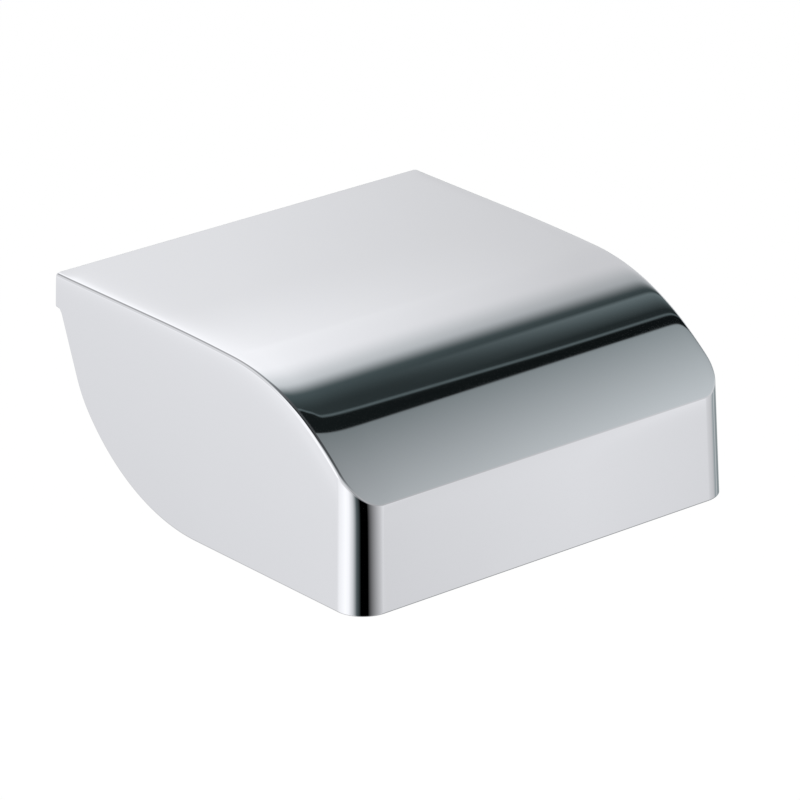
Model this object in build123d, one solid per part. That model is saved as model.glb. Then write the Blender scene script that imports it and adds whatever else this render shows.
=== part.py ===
"""Wall mounted toilet paper holder with a chromed hinged hood over a sprung roll spindle.

The wall plane is y = 0, the front faces -Y and +X runs to the right along the wall. The origin
lies midway between the two wall screws. Most places are worked out as a depth in front of the
hood's rear face and a drop below the hood's flat roof.
"""
from build123d import *
from math import cos, hypot, radians, sin, sqrt, tan
import os

# Hood, outer shape
ROOF_WIDTH = 133.0
HOOD_DEPTH = 136.3
HOOD_HEIGHT = 60.0
SIDE_DRAFT = 1.9
FRONT_DRAFT = 2.45
FRONT_CORNER_R = 9.1
REAR_CORNER_R = 1.6
EDGE_R = 0.9

# Hood roof: three tangent arcs after the flat, each with the slope in degrees that it reaches
SHOULDER_R = 800.0
SHOULDER_SLOPE = 2.5
CURVE_R = 70.5
CURVE_SLOPE = 34.0
BROW_R = 105.0
BROW_SLOPE = 47.5

# Hood, walls and the rear edge of its cheeks
HOOD_WALL = 2.5
LIP_WALL = 3.0
LIP_HEIGHT = 10.1
CHEEK_LEAN = 23.2
CHEEK_BEND_R = 36.0
CHEEK_BEND_TURN = 17.0
CHEEK_SWEEP_R = 64.0

# Hood hinge, measured from the hood's rear face and roof
WALL_GAP = 3.5
HINGE_DEPTH = 8.5
HINGE_DROP = 8.0
BOSS_R = 5.0
BUSH_R = 3.5
BUSH_LENGTH = 4.5
BUSH_FLANGE_R = 4.8
BUSH_FLANGE_T = 0.8
JOURNAL_R = 2.5
PIVOT_THREAD_R = 3.0
PIVOT_HEAD_R = 4.5
PIVOT_HEAD_T = 2.2
PIVOT_WASHER_T = 0.8
SOCKET_KEY_AF = 3.0
SOCKET_KEY_DEPTH = 1.5

# Wall plate
PLATE_T = 3.0
PLATE_INSET = 1.5
PLATE_TOP_DROP = 17.6
PLATE_BOTTOM_DROP = 42.0
PLATE_TOP_R = 3.0
PLATE_BOTTOM_R = 11.0
WALL_SCREW_DROP = 30.0
WALL_SCREW_ROOM = 8.5
WALL_HOLE_R = 2.6

# Side arms
ARM_INSET = 9.0
ARM_T = 3.0
ARM_EYE_R = 5.0
ARM_NECK_DEPTH = 11.5
ARM_NECK_R = 1.2
ARM_SHOULDER_R = 8.0
ARM_END_R = 9.5
FOOT_TOP_DROP = 18.0
FOOT_HEIGHT = 13.0
FOOT_WIDTH = 19.0
FOOT_T = 4.0
ARM_SCREW_R = 2.0
ARM_SCREW_HEAD_R = 3.8
ARM_SCREW_SPACING = 8.6
ARM_SCREW_END_GAP = 0.4

# Rubber buffers on the arms
BUFFER_DEPTH = 24.0
BUFFER_LENGTH = 8.0
BUFFER_END_ROOM = 4.0
BUFFER_TOP_T = 2.75
BUFFER_SIDE_T = 1.6
BUFFER_SKIRT = 4.0
BUFFER_EDGE_R = 0.8

# Spindle and its sockets
SPINDLE_DEPTH = 66.0
SPINDLE_DROP = 48.0
SOCKET_R = 6.5
SOCKET_FLANGE_R = 8.5
SOCKET_FLANGE_T = 1.0
SOCKET_FLOOR_T = 1.0
SPINDLE_JOURNAL_R = 4.0
SLEEVE_R = 11.0
SLEEVE_BORE_R = 9.4
SLEEVE_MOUTH_X = 8.4
CAP_FLANGE_T = 1.6
CAP_SPIGOT_LENGTH = 5.0
PLUNGER_R = 8.7
PLUNGER_BORE_R = 7.5
PLUNGER_TIP_X = -12.4
PLUNGER_SHOULDER_LENGTH = 5.0
PLUNGER_FLOOR_T = 2.0
COLLAR_LENGTH = 3.0
SPRING_R = 6.4
SPRING_WIRE_R = 0.55
SPRING_TURNS = 8

# Clearances
RUNNING_FIT = 0.05
THRUST_GAP = 0.2
REST_GAP = 0.25
END_GAP = 0.3
OVERRUN = 20.0

# Places worked out from the sizes above
ROOF_Z = WALL_SCREW_DROP
ARM_OUTER_X = ROOF_WIDTH / 2 - ARM_INSET
ARM_INNER_X = ARM_OUTER_X - ARM_T
WALL_SCREW_X = ARM_OUTER_X - FOOT_WIDTH - WALL_SCREW_ROOM
BUSH_FACE_X = ARM_OUTER_X + THRUST_GAP
BOSS_FACE_X = BUSH_FACE_X + BUSH_FLANGE_T
BORE_END_X = BOSS_FACE_X + BUSH_LENGTH
PIVOT_SEAT_X = ARM_INNER_X - PIVOT_WASHER_T
PLATE_FRONT_DEPTH = PLATE_T - WALL_GAP
SOCKET_FACE_X = ARM_INNER_X - SOCKET_FLANGE_T
SOCKET_FLOOR_X = ARM_OUTER_X
CAP_FACE_X = SOCKET_FACE_X - END_GAP
CAP_SEAT_X = CAP_FACE_X - CAP_FLANGE_T
ARM_TOP_DROP = HOOD_WALL + REST_GAP + BUFFER_TOP_T
ROOF_ARCS = (
    (SHOULDER_R, SHOULDER_SLOPE),
    (CURVE_R, CURVE_SLOPE),
    (BROW_R, BROW_SLOPE),
)


def place(depth, drop):
    """Give the (y, z) of a depth in front of the hood's rear face and a drop below its roof."""
    return (-(WALL_GAP + depth), ROOF_Z - drop)


def rod(radius, x_start, x_end, depth, drop):
    """Make a cylinder along X between two x values, on the axis at a depth and a drop."""
    y, z = place(depth, drop)
    base = (Align.CENTER, Align.CENTER, Align.MIN)
    return Pos(x_start, y, z) * Rot(0, 90, 0) * Cylinder(radius, x_end - x_start, align=base)


def block(x_start, x_end, depth_start, depth_end, drop_start, drop_end):
    """Make a box between two x values, two depths and two drops."""
    y_back, z_top = place(depth_start, drop_start)
    y_front, z_low = place(depth_end, drop_end)
    centre = ((x_start + x_end) / 2, (y_back + y_front) / 2, (z_top + z_low) / 2)
    return Pos(*centre) * Box(x_end - x_start, y_back - y_front, z_top - z_low)


def side_face(points):
    """Make a face in the side view from (depth, drop) points."""
    return make_face(Polyline([place(*point) for point in points], close=True))


def through(face, x_start, x_end):
    """Extrude a side view face from one x value to another."""
    return Pos(x_start, 0, 0) * extrude(Plane.YZ * face, amount=x_end - x_start)


def both_sides(part):
    """Give the right hand piece and its mirror image on the left."""
    return {"right": part, "left": mirror(part, about=Plane.YZ)}


def arc_step(start, slope_from, slope_to, radius):
    """Find where a roof arc ends and where its centre lies, in (depth, drop)."""
    a, b = radians(slope_from), radians(slope_to)
    centre = (start[0] - radius * sin(a), start[1] + radius * cos(a))
    return (centre[0] + radius * sin(b), centre[1] - radius * cos(b)), centre


def roof_advance():
    """Find how far forward and how far down the three roof arcs run together."""
    point, slope = (0.0, 0.0), 0.0
    for radius, slope_to in ROOF_ARCS:
        point, _ = arc_step(point, slope, slope_to, radius)
        slope = slope_to
    return point


def front_depth(drop, inset):
    """Find the depth of the front face at a drop, set in by a wall."""
    lean = radians(FRONT_DRAFT)
    return HOOD_DEPTH - (HOOD_HEIGHT - drop) * tan(lean) - inset / cos(lean)


def hood_section(inset, rear, low):
    """Make the hood's side view: roof arcs and front face set in by a wall, back to a rear depth."""
    advance, roof_drop = roof_advance()
    start = (front_depth(roof_drop, 0) - advance, 0.0)
    lines = [Line(place(rear, inset), place(start[0], inset))]
    slope = 0.0
    for radius, slope_to in ROOF_ARCS:
        end, centre = arc_step(start, slope, slope_to, radius)
        angles = [radians(a) for a in (slope, (slope + slope_to) / 2, slope_to)]
        rim = radius - inset
        points = [(centre[0] + rim * sin(a), centre[1] - rim * cos(a)) for a in angles]
        lines.append(ThreePointArc(*[place(*point) for point in points]))
        start, slope = end, slope_to
    reach = HOOD_HEIGHT / sin(angles[-1])
    tail = (points[-1][0] + reach * cos(angles[-1]), points[-1][1] + reach * sin(angles[-1]))
    corners = [points[-1], tail, (tail[0], low + reach), (rear, low + reach), (rear, inset)]
    lines.append(Polyline([place(*point) for point in corners]))
    front = [(front_depth(drop, inset), drop) for drop in (-OVERRUN, low)]
    return make_face(lines) & side_face([(rear, -OVERRUN), *front, (rear, low)])


def hood_front_view(inset, low):
    """Make the hood's front view, wider towards the bottom, as a block from the wall outwards."""
    lean = radians(SIDE_DRAFT)
    rows = [(drop, ROOF_WIDTH / 2 + drop * tan(lean) - inset / cos(lean)) for drop in (-OVERRUN, low)]
    (top, top_half), (base, base_half) = rows
    points = [(-top_half, top), (top_half, top), (base_half, base), (-base_half, base)]
    face = make_face(Polyline([(x, ROOF_Z - drop) for x, drop in points], close=True))
    return extrude(Plane.XZ * face, amount=WALL_GAP + HOOD_DEPTH + OVERRUN)


def hood_form(inset, rear, low):
    """Make the solid inside one skin of the hood, with its front corners rounded."""
    section = through(hood_section(inset, rear, low), -ROOF_WIDTH, ROOF_WIDTH)
    form = section & hood_front_view(inset, low)
    y_front, _ = place(front_depth(roof_advance()[1], inset) - HOOD_WALL, 0)
    edges = [edge for edge in form.edges() if edge.center().Y < y_front]
    upright = [edge for edge in edges if edge.length > LIP_HEIGHT and abs(edge.center().X) > ARM_OUTER_X]
    return fillet(upright, FRONT_CORNER_R - inset)


def roof_rim(form):
    """Pick the edges round the roof, leaving out those between its own faces."""
    least_rise = cos(radians(BROW_SLOPE + FRONT_DRAFT))
    faces = form.faces().filter_by(lambda face: face.normal_at().Z > least_rise)
    edges = [edge for face in faces for edge in face.edges()]
    return [edge for edge in edges if sum(edge.is_same(other) for other in edges) == 1]


def cheek_relief():
    """Make the side view of what is cut away behind the cheeks, up to the foot of the rear lip."""
    lean = radians(90 - CHEEK_LEAN)
    turn = radians(90 - CHEEK_LEAN - CHEEK_BEND_TURN)
    bend_drop = CHEEK_BEND_R * (cos(turn) - cos(lean))
    sweep_drop = CHEEK_SWEEP_R * (1 - cos(turn))
    straight_drop = HOOD_HEIGHT - LIP_HEIGHT - bend_drop - sweep_drop
    top = (LIP_WALL, LIP_HEIGHT)
    knee = (LIP_WALL + straight_drop / tan(lean), LIP_HEIGHT + straight_drop)

    def on_arc(start, angle_from, angle_to, radius):
        """Follow an arc that flattens out from one slope to another."""
        ahead = radius * (sin(angle_from) - sin(angle_to))
        return (start[0] + ahead, start[1] + radius * (cos(angle_to) - cos(angle_from)))

    lines = [Line(place(*top), place(*knee))]
    start = knee
    for angle_from, angle_to, radius in ((lean, turn, CHEEK_BEND_R), (turn, 0.0, CHEEK_SWEEP_R)):
        middle = on_arc(start, angle_from, (angle_from + angle_to) / 2, radius)
        end = on_arc(start, angle_from, angle_to, radius)
        lines.append(ThreePointArc(place(*start), place(*middle), place(*end)))
        start = end
    below = HOOD_HEIGHT + OVERRUN
    corners = [start, (start[0], below), (-OVERRUN, below), (-OVERRUN, LIP_HEIGHT), top]
    lines.append(Polyline([place(*point) for point in corners]))
    return make_face(lines)


def hinge_boss():
    """Make the right hand hinge boss, filled out to the roof and the lip that it grows from."""
    outer_x = BORE_END_X + HOOD_WALL
    ahead = HINGE_DEPTH + BOSS_R
    barrel = rod(BOSS_R, BOSS_FACE_X, outer_x, HINGE_DEPTH, HINGE_DROP)
    web = block(BOSS_FACE_X, outer_x, LIP_WALL / 2, ahead, HOOD_WALL / 2, HINGE_DROP)
    return barrel + web


def hood():
    """Make the cast hood: roof, front, two cheeks, rear lip and two inner hinge bosses."""
    skin = hood_form(0, 0, HOOD_HEIGHT)
    rear = [edge for edge in skin.edges().filter_by(Axis.Z, tolerance=2 * SIDE_DRAFT)
            if abs(edge.center().Y - place(0, 0)[0]) < REAR_CORNER_R]
    skin = fillet(rear, REAR_CORNER_R)
    skin = fillet(roof_rim(skin), EDGE_R)
    skin -= through(cheek_relief(), -ROOF_WIDTH, ROOF_WIDTH)
    shell = skin - hood_form(HOOD_WALL, LIP_WALL, HOOD_HEIGHT + OVERRUN)
    for boss in both_sides(hinge_boss()).values():
        shell += boss & skin
    for bore in both_sides(rod(BUSH_R, BOSS_FACE_X, BORE_END_X, HINGE_DEPTH, HINGE_DROP)).values():
        shell -= bore
    return shell


def hinge_bush():
    """Make the flanged plain bearing that sits in the right hand hinge boss."""
    sleeve = rod(BUSH_R, BOSS_FACE_X, BORE_END_X, HINGE_DEPTH, HINGE_DROP)
    flange = rod(BUSH_FLANGE_R, BUSH_FACE_X, BOSS_FACE_X, HINGE_DEPTH, HINGE_DROP)
    bore = rod(JOURNAL_R + RUNNING_FIT, BUSH_FACE_X, BORE_END_X, HINGE_DEPTH, HINGE_DROP)
    return sleeve + flange - bore


def pivot_screw():
    """Make the right hand shoulder screw: a head inside the arm, a thread in it, a journal beyond."""
    head_x = PIVOT_SEAT_X - PIVOT_HEAD_T
    head = rod(PIVOT_HEAD_R, head_x, PIVOT_SEAT_X, HINGE_DEPTH, HINGE_DROP)
    thread = rod(PIVOT_THREAD_R, PIVOT_SEAT_X, ARM_OUTER_X, HINGE_DEPTH, HINGE_DROP)
    journal = rod(JOURNAL_R, ARM_OUTER_X, BORE_END_X - END_GAP, HINGE_DEPTH, HINGE_DROP)
    y, z = place(HINGE_DEPTH, HINGE_DROP)
    key = RegularPolygon(SOCKET_KEY_AF / 2, 6, major_radius=False)
    socket = Pos(head_x, y, z) * extrude(Plane.YZ * key, amount=SOCKET_KEY_DEPTH)
    return head + thread + journal - socket


def pivot_washer():
    """Make the lock washer between the right hand shoulder screw's head and the arm."""
    disc = rod(PIVOT_HEAD_R, PIVOT_SEAT_X, ARM_INNER_X, HINGE_DEPTH, HINGE_DROP)
    return disc - rod(PIVOT_THREAD_R + RUNNING_FIT, PIVOT_SEAT_X, ARM_INNER_X, HINGE_DEPTH, HINGE_DROP)


def tangent_point(point, centre, radius, turn):
    """Find where a line from a point touches a circle, on the side given by turn, 1 or -1."""
    along, down = point[0] - centre[0], point[1] - centre[1]
    far = hypot(along, down)
    near = radius / far
    side = turn * sqrt(1 - near**2)
    ahead = (along * near - down * side) / far
    below = (down * near + along * side) / far
    return (centre[0] + radius * ahead, centre[1] + radius * below)


def arm_outline():
    """Make the right arm's side view: hinge eye, neck, buffer seat and the end round the spindle."""
    spindle = (SPINDLE_DEPTH, SPINDLE_DROP)
    seat_end = (BUFFER_DEPTH + BUFFER_LENGTH + BUFFER_END_ROOM, ARM_TOP_DROP)
    foot_low = (PLATE_FRONT_DEPTH, FOOT_TOP_DROP + FOOT_HEIGHT)
    neck = (ARM_NECK_DEPTH, FOOT_TOP_DROP)
    web = side_face([
        (PLATE_FRONT_DEPTH, FOOT_TOP_DROP),
        neck,
        (ARM_NECK_DEPTH, ARM_TOP_DROP),
        seat_end,
        tangent_point(seat_end, spindle, ARM_END_R, 1),
        spindle,
        tangent_point(foot_low, spindle, ARM_END_R, -1),
        foot_low,
    ])

    def corner(point):
        """Pick the corner of the web that lies at a point."""
        return web.vertices().sort_by_distance((*place(*point), 0))[0]

    web = fillet(corner(seat_end), ARM_SHOULDER_R)
    web = fillet(corner(neck), ARM_NECK_R)
    eye = Pos(*place(HINGE_DEPTH, HINGE_DROP)) * Circle(ARM_EYE_R)
    end = Pos(*place(*spindle)) * Circle(ARM_END_R)
    return web + eye + end


def arm_screw_places():
    """List the x and z of the two screws in the right arm's foot."""
    clear = ARM_INNER_X - (FOOT_WIDTH - ARM_T) / 2
    _, z = place(0, FOOT_TOP_DROP + FOOT_HEIGHT / 2)
    return [(clear + side * ARM_SCREW_SPACING / 2, z) for side in (-1, 1)]


def from_wall(profile, x, z):
    """Turn a profile of (radius, distance from the wall) points about an axis square to the wall."""
    face = make_face(Polyline([(radius, -out) for radius, out in profile], close=True))
    return Pos(x, 0, z) * revolve(face, axis=Axis.Y)


def side_arm():
    """Make the right arm: a flat web with a screwed foot, tapped for the pivot, bored for the socket."""
    web = through(arm_outline(), ARM_INNER_X, ARM_OUTER_X)
    foot = block(ARM_OUTER_X - FOOT_WIDTH, ARM_OUTER_X, PLATE_FRONT_DEPTH, PLATE_FRONT_DEPTH + FOOT_T,
                 FOOT_TOP_DROP, FOOT_TOP_DROP + FOOT_HEIGHT)
    arm = web + foot
    arm -= rod(PIVOT_THREAD_R, ARM_INNER_X, ARM_OUTER_X, HINGE_DEPTH, HINGE_DROP)
    arm -= rod(SOCKET_R, ARM_INNER_X, ARM_OUTER_X, SPINDLE_DEPTH, SPINDLE_DROP)
    shank = [(0, 0), (ARM_SCREW_R, 0), (ARM_SCREW_R, PLATE_T + FOOT_T), (0, PLATE_T + FOOT_T)]
    for x, z in arm_screw_places():
        arm -= from_wall(shank, x, z)
    return arm


def arm_screw_profile():
    """List the countersunk arm screw's half outline, flush with the back of the wall plate."""
    cone = ARM_SCREW_HEAD_R - ARM_SCREW_R
    end = PLATE_T + FOOT_T - ARM_SCREW_END_GAP
    return [(0, 0), (ARM_SCREW_HEAD_R, 0), (ARM_SCREW_R, cone), (ARM_SCREW_R, end), (0, end)]


def arm_screws():
    """Make the four arm screws as one group of solids."""
    places = [(side * x, z) for side in (-1, 1) for x, z in arm_screw_places()]
    return Compound(children=[from_wall(arm_screw_profile(), x, z) for x, z in places])


def wall_plate():
    """Make the flat plate that the two wall screws hold, countersunk behind for the arm screws."""
    half = ARM_OUTER_X - PLATE_INSET
    top, low = ROOF_Z - PLATE_TOP_DROP, ROOF_Z - PLATE_BOTTOM_DROP
    face = make_face(Polyline([(-half, top), (half, top), (half, low), (-half, low)], close=True))
    upper = face.vertices().group_by(Axis.Y)[-1]
    face = fillet(upper, PLATE_TOP_R)
    lower = face.vertices().group_by(Axis.Y)[0]
    face = fillet(lower, PLATE_BOTTOM_R)
    plate = extrude(Plane.XZ * face, amount=PLATE_T)
    for side in (-1, 1):
        hole = [(0, 0), (WALL_HOLE_R, 0), (WALL_HOLE_R, PLATE_T), (0, PLATE_T)]
        plate -= from_wall(hole, side * WALL_SCREW_X, 0)
        for x, z in arm_screw_places():
            plate -= from_wall(arm_screw_profile(), side * x, z)
    return plate


def lid_buffer():
    """Make the right rubber buffer, a cap clipped over the arm's upper edge under the roof."""
    top = HOOD_WALL + REST_GAP
    sides = (ARM_INNER_X - BUFFER_SIDE_T, ARM_OUTER_X + BUFFER_SIDE_T)
    ends = (BUFFER_DEPTH, BUFFER_DEPTH + BUFFER_LENGTH)
    cap = block(*sides, *ends, top, ARM_TOP_DROP + BUFFER_SKIRT)
    cap = fillet(cap.edges().filter_by(Axis.Y).group_by(Axis.Z)[-1], BUFFER_EDGE_R)
    return cap - block(ARM_INNER_X, ARM_OUTER_X, *ends, ARM_TOP_DROP, ARM_TOP_DROP + BUFFER_SKIRT)


def spindle_rod(radius, x_start, x_end):
    """Make a cylinder on the spindle's axis."""
    return rod(radius, x_start, x_end, SPINDLE_DEPTH, SPINDLE_DROP)


def spindle_socket():
    """Make the right plastic socket: a blind cup in the arm with a flange on its inner face."""
    cup = spindle_rod(SOCKET_R, ARM_INNER_X, SOCKET_FLOOR_X + SOCKET_FLOOR_T)
    flange = spindle_rod(SOCKET_FLANGE_R, SOCKET_FACE_X, ARM_INNER_X)
    return cup + flange - spindle_rod(SPINDLE_JOURNAL_R + RUNNING_FIT, SOCKET_FACE_X, SOCKET_FLOOR_X)


def spindle_cap(flange_r, spigot_r):
    """Make a right hand end cap: a journal for the socket, a flange and a spigot in the tube."""
    journal = spindle_rod(SPINDLE_JOURNAL_R, CAP_FACE_X, SOCKET_FLOOR_X - END_GAP)
    flange = spindle_rod(flange_r, CAP_SEAT_X, CAP_FACE_X)
    spigot = spindle_rod(spigot_r, CAP_SEAT_X - CAP_SPIGOT_LENGTH, CAP_SEAT_X)
    return journal + flange + spigot


def spindle_sleeve():
    """Make the outer tube of the spindle, open at both ends."""
    tube = spindle_rod(SLEEVE_R, -CAP_SEAT_X, SLEEVE_MOUTH_X)
    return tube - spindle_rod(SLEEVE_BORE_R, -CAP_SEAT_X, SLEEVE_MOUTH_X)


def spindle_collar():
    """Make the guide ring in the mouth of the sleeve, which keeps the plunger's shoulder in."""
    ring = spindle_rod(SLEEVE_BORE_R, SLEEVE_MOUTH_X - COLLAR_LENGTH, SLEEVE_MOUTH_X)
    return ring - spindle_rod(PLUNGER_R + RUNNING_FIT, SLEEVE_MOUTH_X - COLLAR_LENGTH, SLEEVE_MOUTH_X)


def spindle_plunger():
    """Make the inner tube: a floor for the spring and a shoulder that runs in the sleeve's bore."""
    tube = spindle_rod(PLUNGER_R, PLUNGER_TIP_X, CAP_SEAT_X)
    shoulder_end = PLUNGER_TIP_X + PLUNGER_SHOULDER_LENGTH
    shoulder = spindle_rod(SLEEVE_BORE_R - RUNNING_FIT, PLUNGER_TIP_X, shoulder_end)
    return tube + shoulder - spindle_rod(PLUNGER_BORE_R, PLUNGER_TIP_X + PLUNGER_FLOOR_T, CAP_SEAT_X)


def spindle_spring():
    """Make the compression spring between the left cap's spigot and the plunger's floor."""
    left = -CAP_SEAT_X + CAP_SPIGOT_LENGTH + SPRING_WIRE_R + RUNNING_FIT
    length = PLUNGER_TIP_X - SPRING_WIRE_R - RUNNING_FIT - left
    path = Helix(pitch=length / SPRING_TURNS, height=length, radius=SPRING_R)
    wire = sweep(Plane(path @ 0, z_dir=path % 0) * Circle(SPRING_WIRE_R), path=path)
    y, z = place(SPINDLE_DEPTH, SPINDLE_DROP)
    return Pos(left, y, z) * Rot(0, 90, 0) * wire


def nodes():
    """Name every piece of the holder."""
    pieces = {
        "lid_cover": hood(),
        "wall_plate": wall_plate(),
        "arm_screws": arm_screws(),
        "spindle_sleeve": spindle_sleeve(),
        "spindle_plunger": spindle_plunger(),
        "spindle_collar": spindle_collar(),
        "spindle_spring": spindle_spring(),
        "spindle_cap_right": spindle_cap(PLUNGER_R, PLUNGER_BORE_R),
        "spindle_cap_left": mirror(spindle_cap(SLEEVE_R, SLEEVE_BORE_R), about=Plane.YZ),
    }
    pairs = {
        "side_arm": side_arm(),
        "pivot_screw": pivot_screw(),
        "pivot_washer": pivot_washer(),
        "hinge_bush": hinge_bush(),
        "lid_buffer": lid_buffer(),
        "spindle_socket": spindle_socket(),
    }
    for name, part in pairs.items():
        for side, piece in both_sides(part).items():
            pieces[f"{name}_{side}"] = piece
    return pieces


os.makedirs("parts", exist_ok=True)
for node_name, node in nodes().items():
    export_step(node, f"parts/{node_name}.step")
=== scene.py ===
"""Studio scene of a wall mounted toilet paper holder: a chromed hinged hood over a sprung spindle.

Pieces are worked out in millimetres as (x, depth, drop): x runs to the right along the wall, depth
forward from the hood's rear face and drop down from its flat roof. That frame is the part's own
frame turned half a turn about X, and to_metres brings every finished mesh back into it.
"""
import logging
import math
from dataclasses import dataclass, field
from enum import Enum
from typing import Any, Sequence

import bpy
import numpy as np
from bpy.types import Material, Node, NodeSocket, NodeTree, Object
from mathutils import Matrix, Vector
from mathutils.geometry import delaunay_2d_cdt


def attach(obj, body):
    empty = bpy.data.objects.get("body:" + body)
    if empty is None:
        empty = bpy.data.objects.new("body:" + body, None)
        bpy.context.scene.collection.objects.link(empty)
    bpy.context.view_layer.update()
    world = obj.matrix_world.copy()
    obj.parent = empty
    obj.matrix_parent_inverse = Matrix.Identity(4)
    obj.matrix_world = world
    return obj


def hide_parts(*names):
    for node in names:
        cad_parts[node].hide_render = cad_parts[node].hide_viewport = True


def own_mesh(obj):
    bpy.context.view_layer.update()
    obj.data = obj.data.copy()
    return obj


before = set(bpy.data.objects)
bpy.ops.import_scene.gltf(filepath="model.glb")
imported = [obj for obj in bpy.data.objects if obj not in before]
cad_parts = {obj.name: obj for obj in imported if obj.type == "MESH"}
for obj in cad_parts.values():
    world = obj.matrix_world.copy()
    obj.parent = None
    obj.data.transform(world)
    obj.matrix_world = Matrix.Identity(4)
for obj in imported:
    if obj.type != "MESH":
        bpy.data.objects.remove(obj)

Array = np.ndarray
Pair = tuple[float, float]
Triple = tuple[float, float, float]
Colour = tuple[float, float, float, float]
LOG = logging.getLogger("holder")
MM = 0.001
WALL_GAP = 3.5
ROOF_Z = 30.0
# Sizes that several pieces share: the axes of hinge and spindle as (depth, drop), the x of an arm's
# two faces, and the radii of a bush and a socket
HINGE_AXIS, SPINDLE_AXIS, ARM_SPAN = (8.5, 8.0), (66.0, 48.0), (54.5, 57.5)
BUSH_R, SOCKET_R = 3.5, 6.5
# Points in one cell of this size become one vertex; the shift keeps round sizes off cells' edges
WELD, CELL_SHIFT = 1e-4, 0.137
# Vectors and turns below these count as none
TINY, SMALL_TURN = 1e-12, 1e-6
# How faces are filled: inside their lines alone, with points this close taken as one, and clear of
# this share of a hole's radius
FILL_INSIDE, FILL_GAP, HOLE_SHARE = 1, 1e-7, 0.999
# The longest rounding of a corner as a share of a run, and the steps of a finely divided line
LONGEST_EASE, FINE_STEPS = 0.45, 200
# The largest sine of the roof's slope
STEEPEST = 0.95
# Axes of a slab that lies flat on the wall: its outline in x and drop, its thickness along depth
ON_WALL = (0, 2, 1)
# How much red a cold tone loses and how much blue it gains
COLD = (0.26, 0.03)
WHITE = (1.0, 1.0, 1.0, 1.0)
# Numbers of a mix node's colour sockets
MIX_A, MIX_B = 6, 7


class Body(Enum):
    """The bodies that pieces ride on."""

    BRACKET = "bracket"
    LID = "lid"
    SPINDLE = "spindle"
    PLUNGER = "plunger"


class Slot(Enum):
    """The record's material slots."""

    CHROME = "chrome"
    STEEL = "steel"
    PLASTIC = "bearing_plastic"
    RUBBER = "rubber"


@dataclass
class Sheet:
    """Faces over shared points, with a normal at each point.

    Args:
        points: One row of x, depth and drop for each point, in mm.
        normals: The outward unit normal at each point.
        faces: Four indices for each face; a triangle repeats its last one.
        finish: Which of the piece's materials the faces take.
    """

    points: Array
    normals: Array
    faces: Array
    finish: int = 0

    def mirrored(self) -> "Sheet":
        """Give the same faces on the other side of the middle plane."""
        flip = np.array([-1.0, 1.0, 1.0])
        return Sheet(self.points * flip, self.normals * flip, self.faces, self.finish)


def grid(points: Array, normals: Array, finish: int = 0) -> Sheet:
    """Lay faces over a grid of points.

    Args:
        points: Rows by columns by 3.
        normals: The normals, of the same shape.
        finish: Which of the piece's materials the faces take.

    Returns:
        A sheet with one face between each four neighbouring points.
    """
    rows, columns = points.shape[:2]
    index = np.arange(rows * columns).reshape(rows, columns)
    corners = [index[:-1, :-1], index[:-1, 1:], index[1:, 1:], index[1:, :-1]]
    faces = np.stack(corners, -1).reshape(-1, 4)
    return Sheet(points.reshape(-1, 3), unit(normals.reshape(-1, 3)), faces, finish)


def unit(vectors: Array) -> Array:
    """Scale vectors to length one."""
    return vectors / np.maximum(np.linalg.norm(vectors, axis=-1, keepdims=True), TINY)


def vectors(*parts: Array | float) -> Array:
    """Join parts into vectors, single values being repeated over the shape of the others."""
    return np.stack(np.broadcast_arrays(*parts), -1)


def to_metres(points: Array) -> Array:
    """Turn (x, depth, drop) in mm into the part's own frame in metres."""
    x, depth, drop = np.moveaxis(points, -1, 0)
    return vectors(x, -(WALL_GAP + depth), ROOF_Z - drop) * MM


def make_piece(name: str, sheets: Sequence[Sheet]) -> Object:
    """Weld sheets into one mesh object with exact normals.

    Points that share a place become one vertex, faces are turned to agree with their normals, and
    each face corner keeps the normal of its own sheet, so flat, round and sharp places all stay so.

    Args:
        name: The name of the object and its mesh.
        sheets: The sheets that close the piece's surface.

    Returns:
        The new object, at the origin.
    """
    starts = np.cumsum([0] + [len(sheet.points) for sheet in sheets[:-1]])
    points = np.concatenate([sheet.points for sheet in sheets])
    normals = np.concatenate([sheet.normals for sheet in sheets])
    faces = np.concatenate([sheet.faces + start for sheet, start in zip(sheets, starts)])
    finish = np.concatenate([np.full(len(sheet.faces), sheet.finish) for sheet in sheets])
    across = points[faces[:, 2]] - points[faces[:, 0]]
    along = points[faces[:, 3]] - points[faces[:, 1]]
    facing = np.einsum("ij,ij->i", np.cross(across, along), normals[faces].sum(1))
    faces = np.where(facing[:, None] < 0, faces[:, ::-1], faces)
    cells = np.round(points / WELD + CELL_SHIFT).astype(np.int64)
    _, first, weld = np.unique(cells, axis=0, return_index=True, return_inverse=True)
    corner = weld.reshape(-1)[faces]
    same = corner == np.roll(corner, -1, axis=1)
    crossed = (corner[:, 0] == corner[:, 2]) | (corner[:, 1] == corner[:, 3])
    quads = ~same.any(1) & ~crossed
    flats = (same.sum(1) == 1) & ~crossed
    loops = [faces[quads].reshape(-1), faces[flats][~same[flats]]]
    listed = corner[quads].tolist() + corner[flats][~same[flats]].reshape(-1, 3).tolist()
    mesh = bpy.data.meshes.new(name)
    mesh.from_pydata(to_metres(points[first]).tolist(), [], listed)
    slots = np.concatenate([finish[quads], finish[flats]]).astype(np.int32)
    mesh.polygons.foreach_set("material_index", slots)
    mesh.polygons.foreach_set("use_smooth", np.ones(len(slots), bool))
    turned_up = normals[np.concatenate(loops)] * (1.0, -1.0, -1.0)
    mesh.normals_split_custom_set(turned_up.tolist())
    piece = bpy.data.objects.new(name, mesh)
    bpy.context.scene.collection.objects.link(piece)
    return piece


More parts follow.
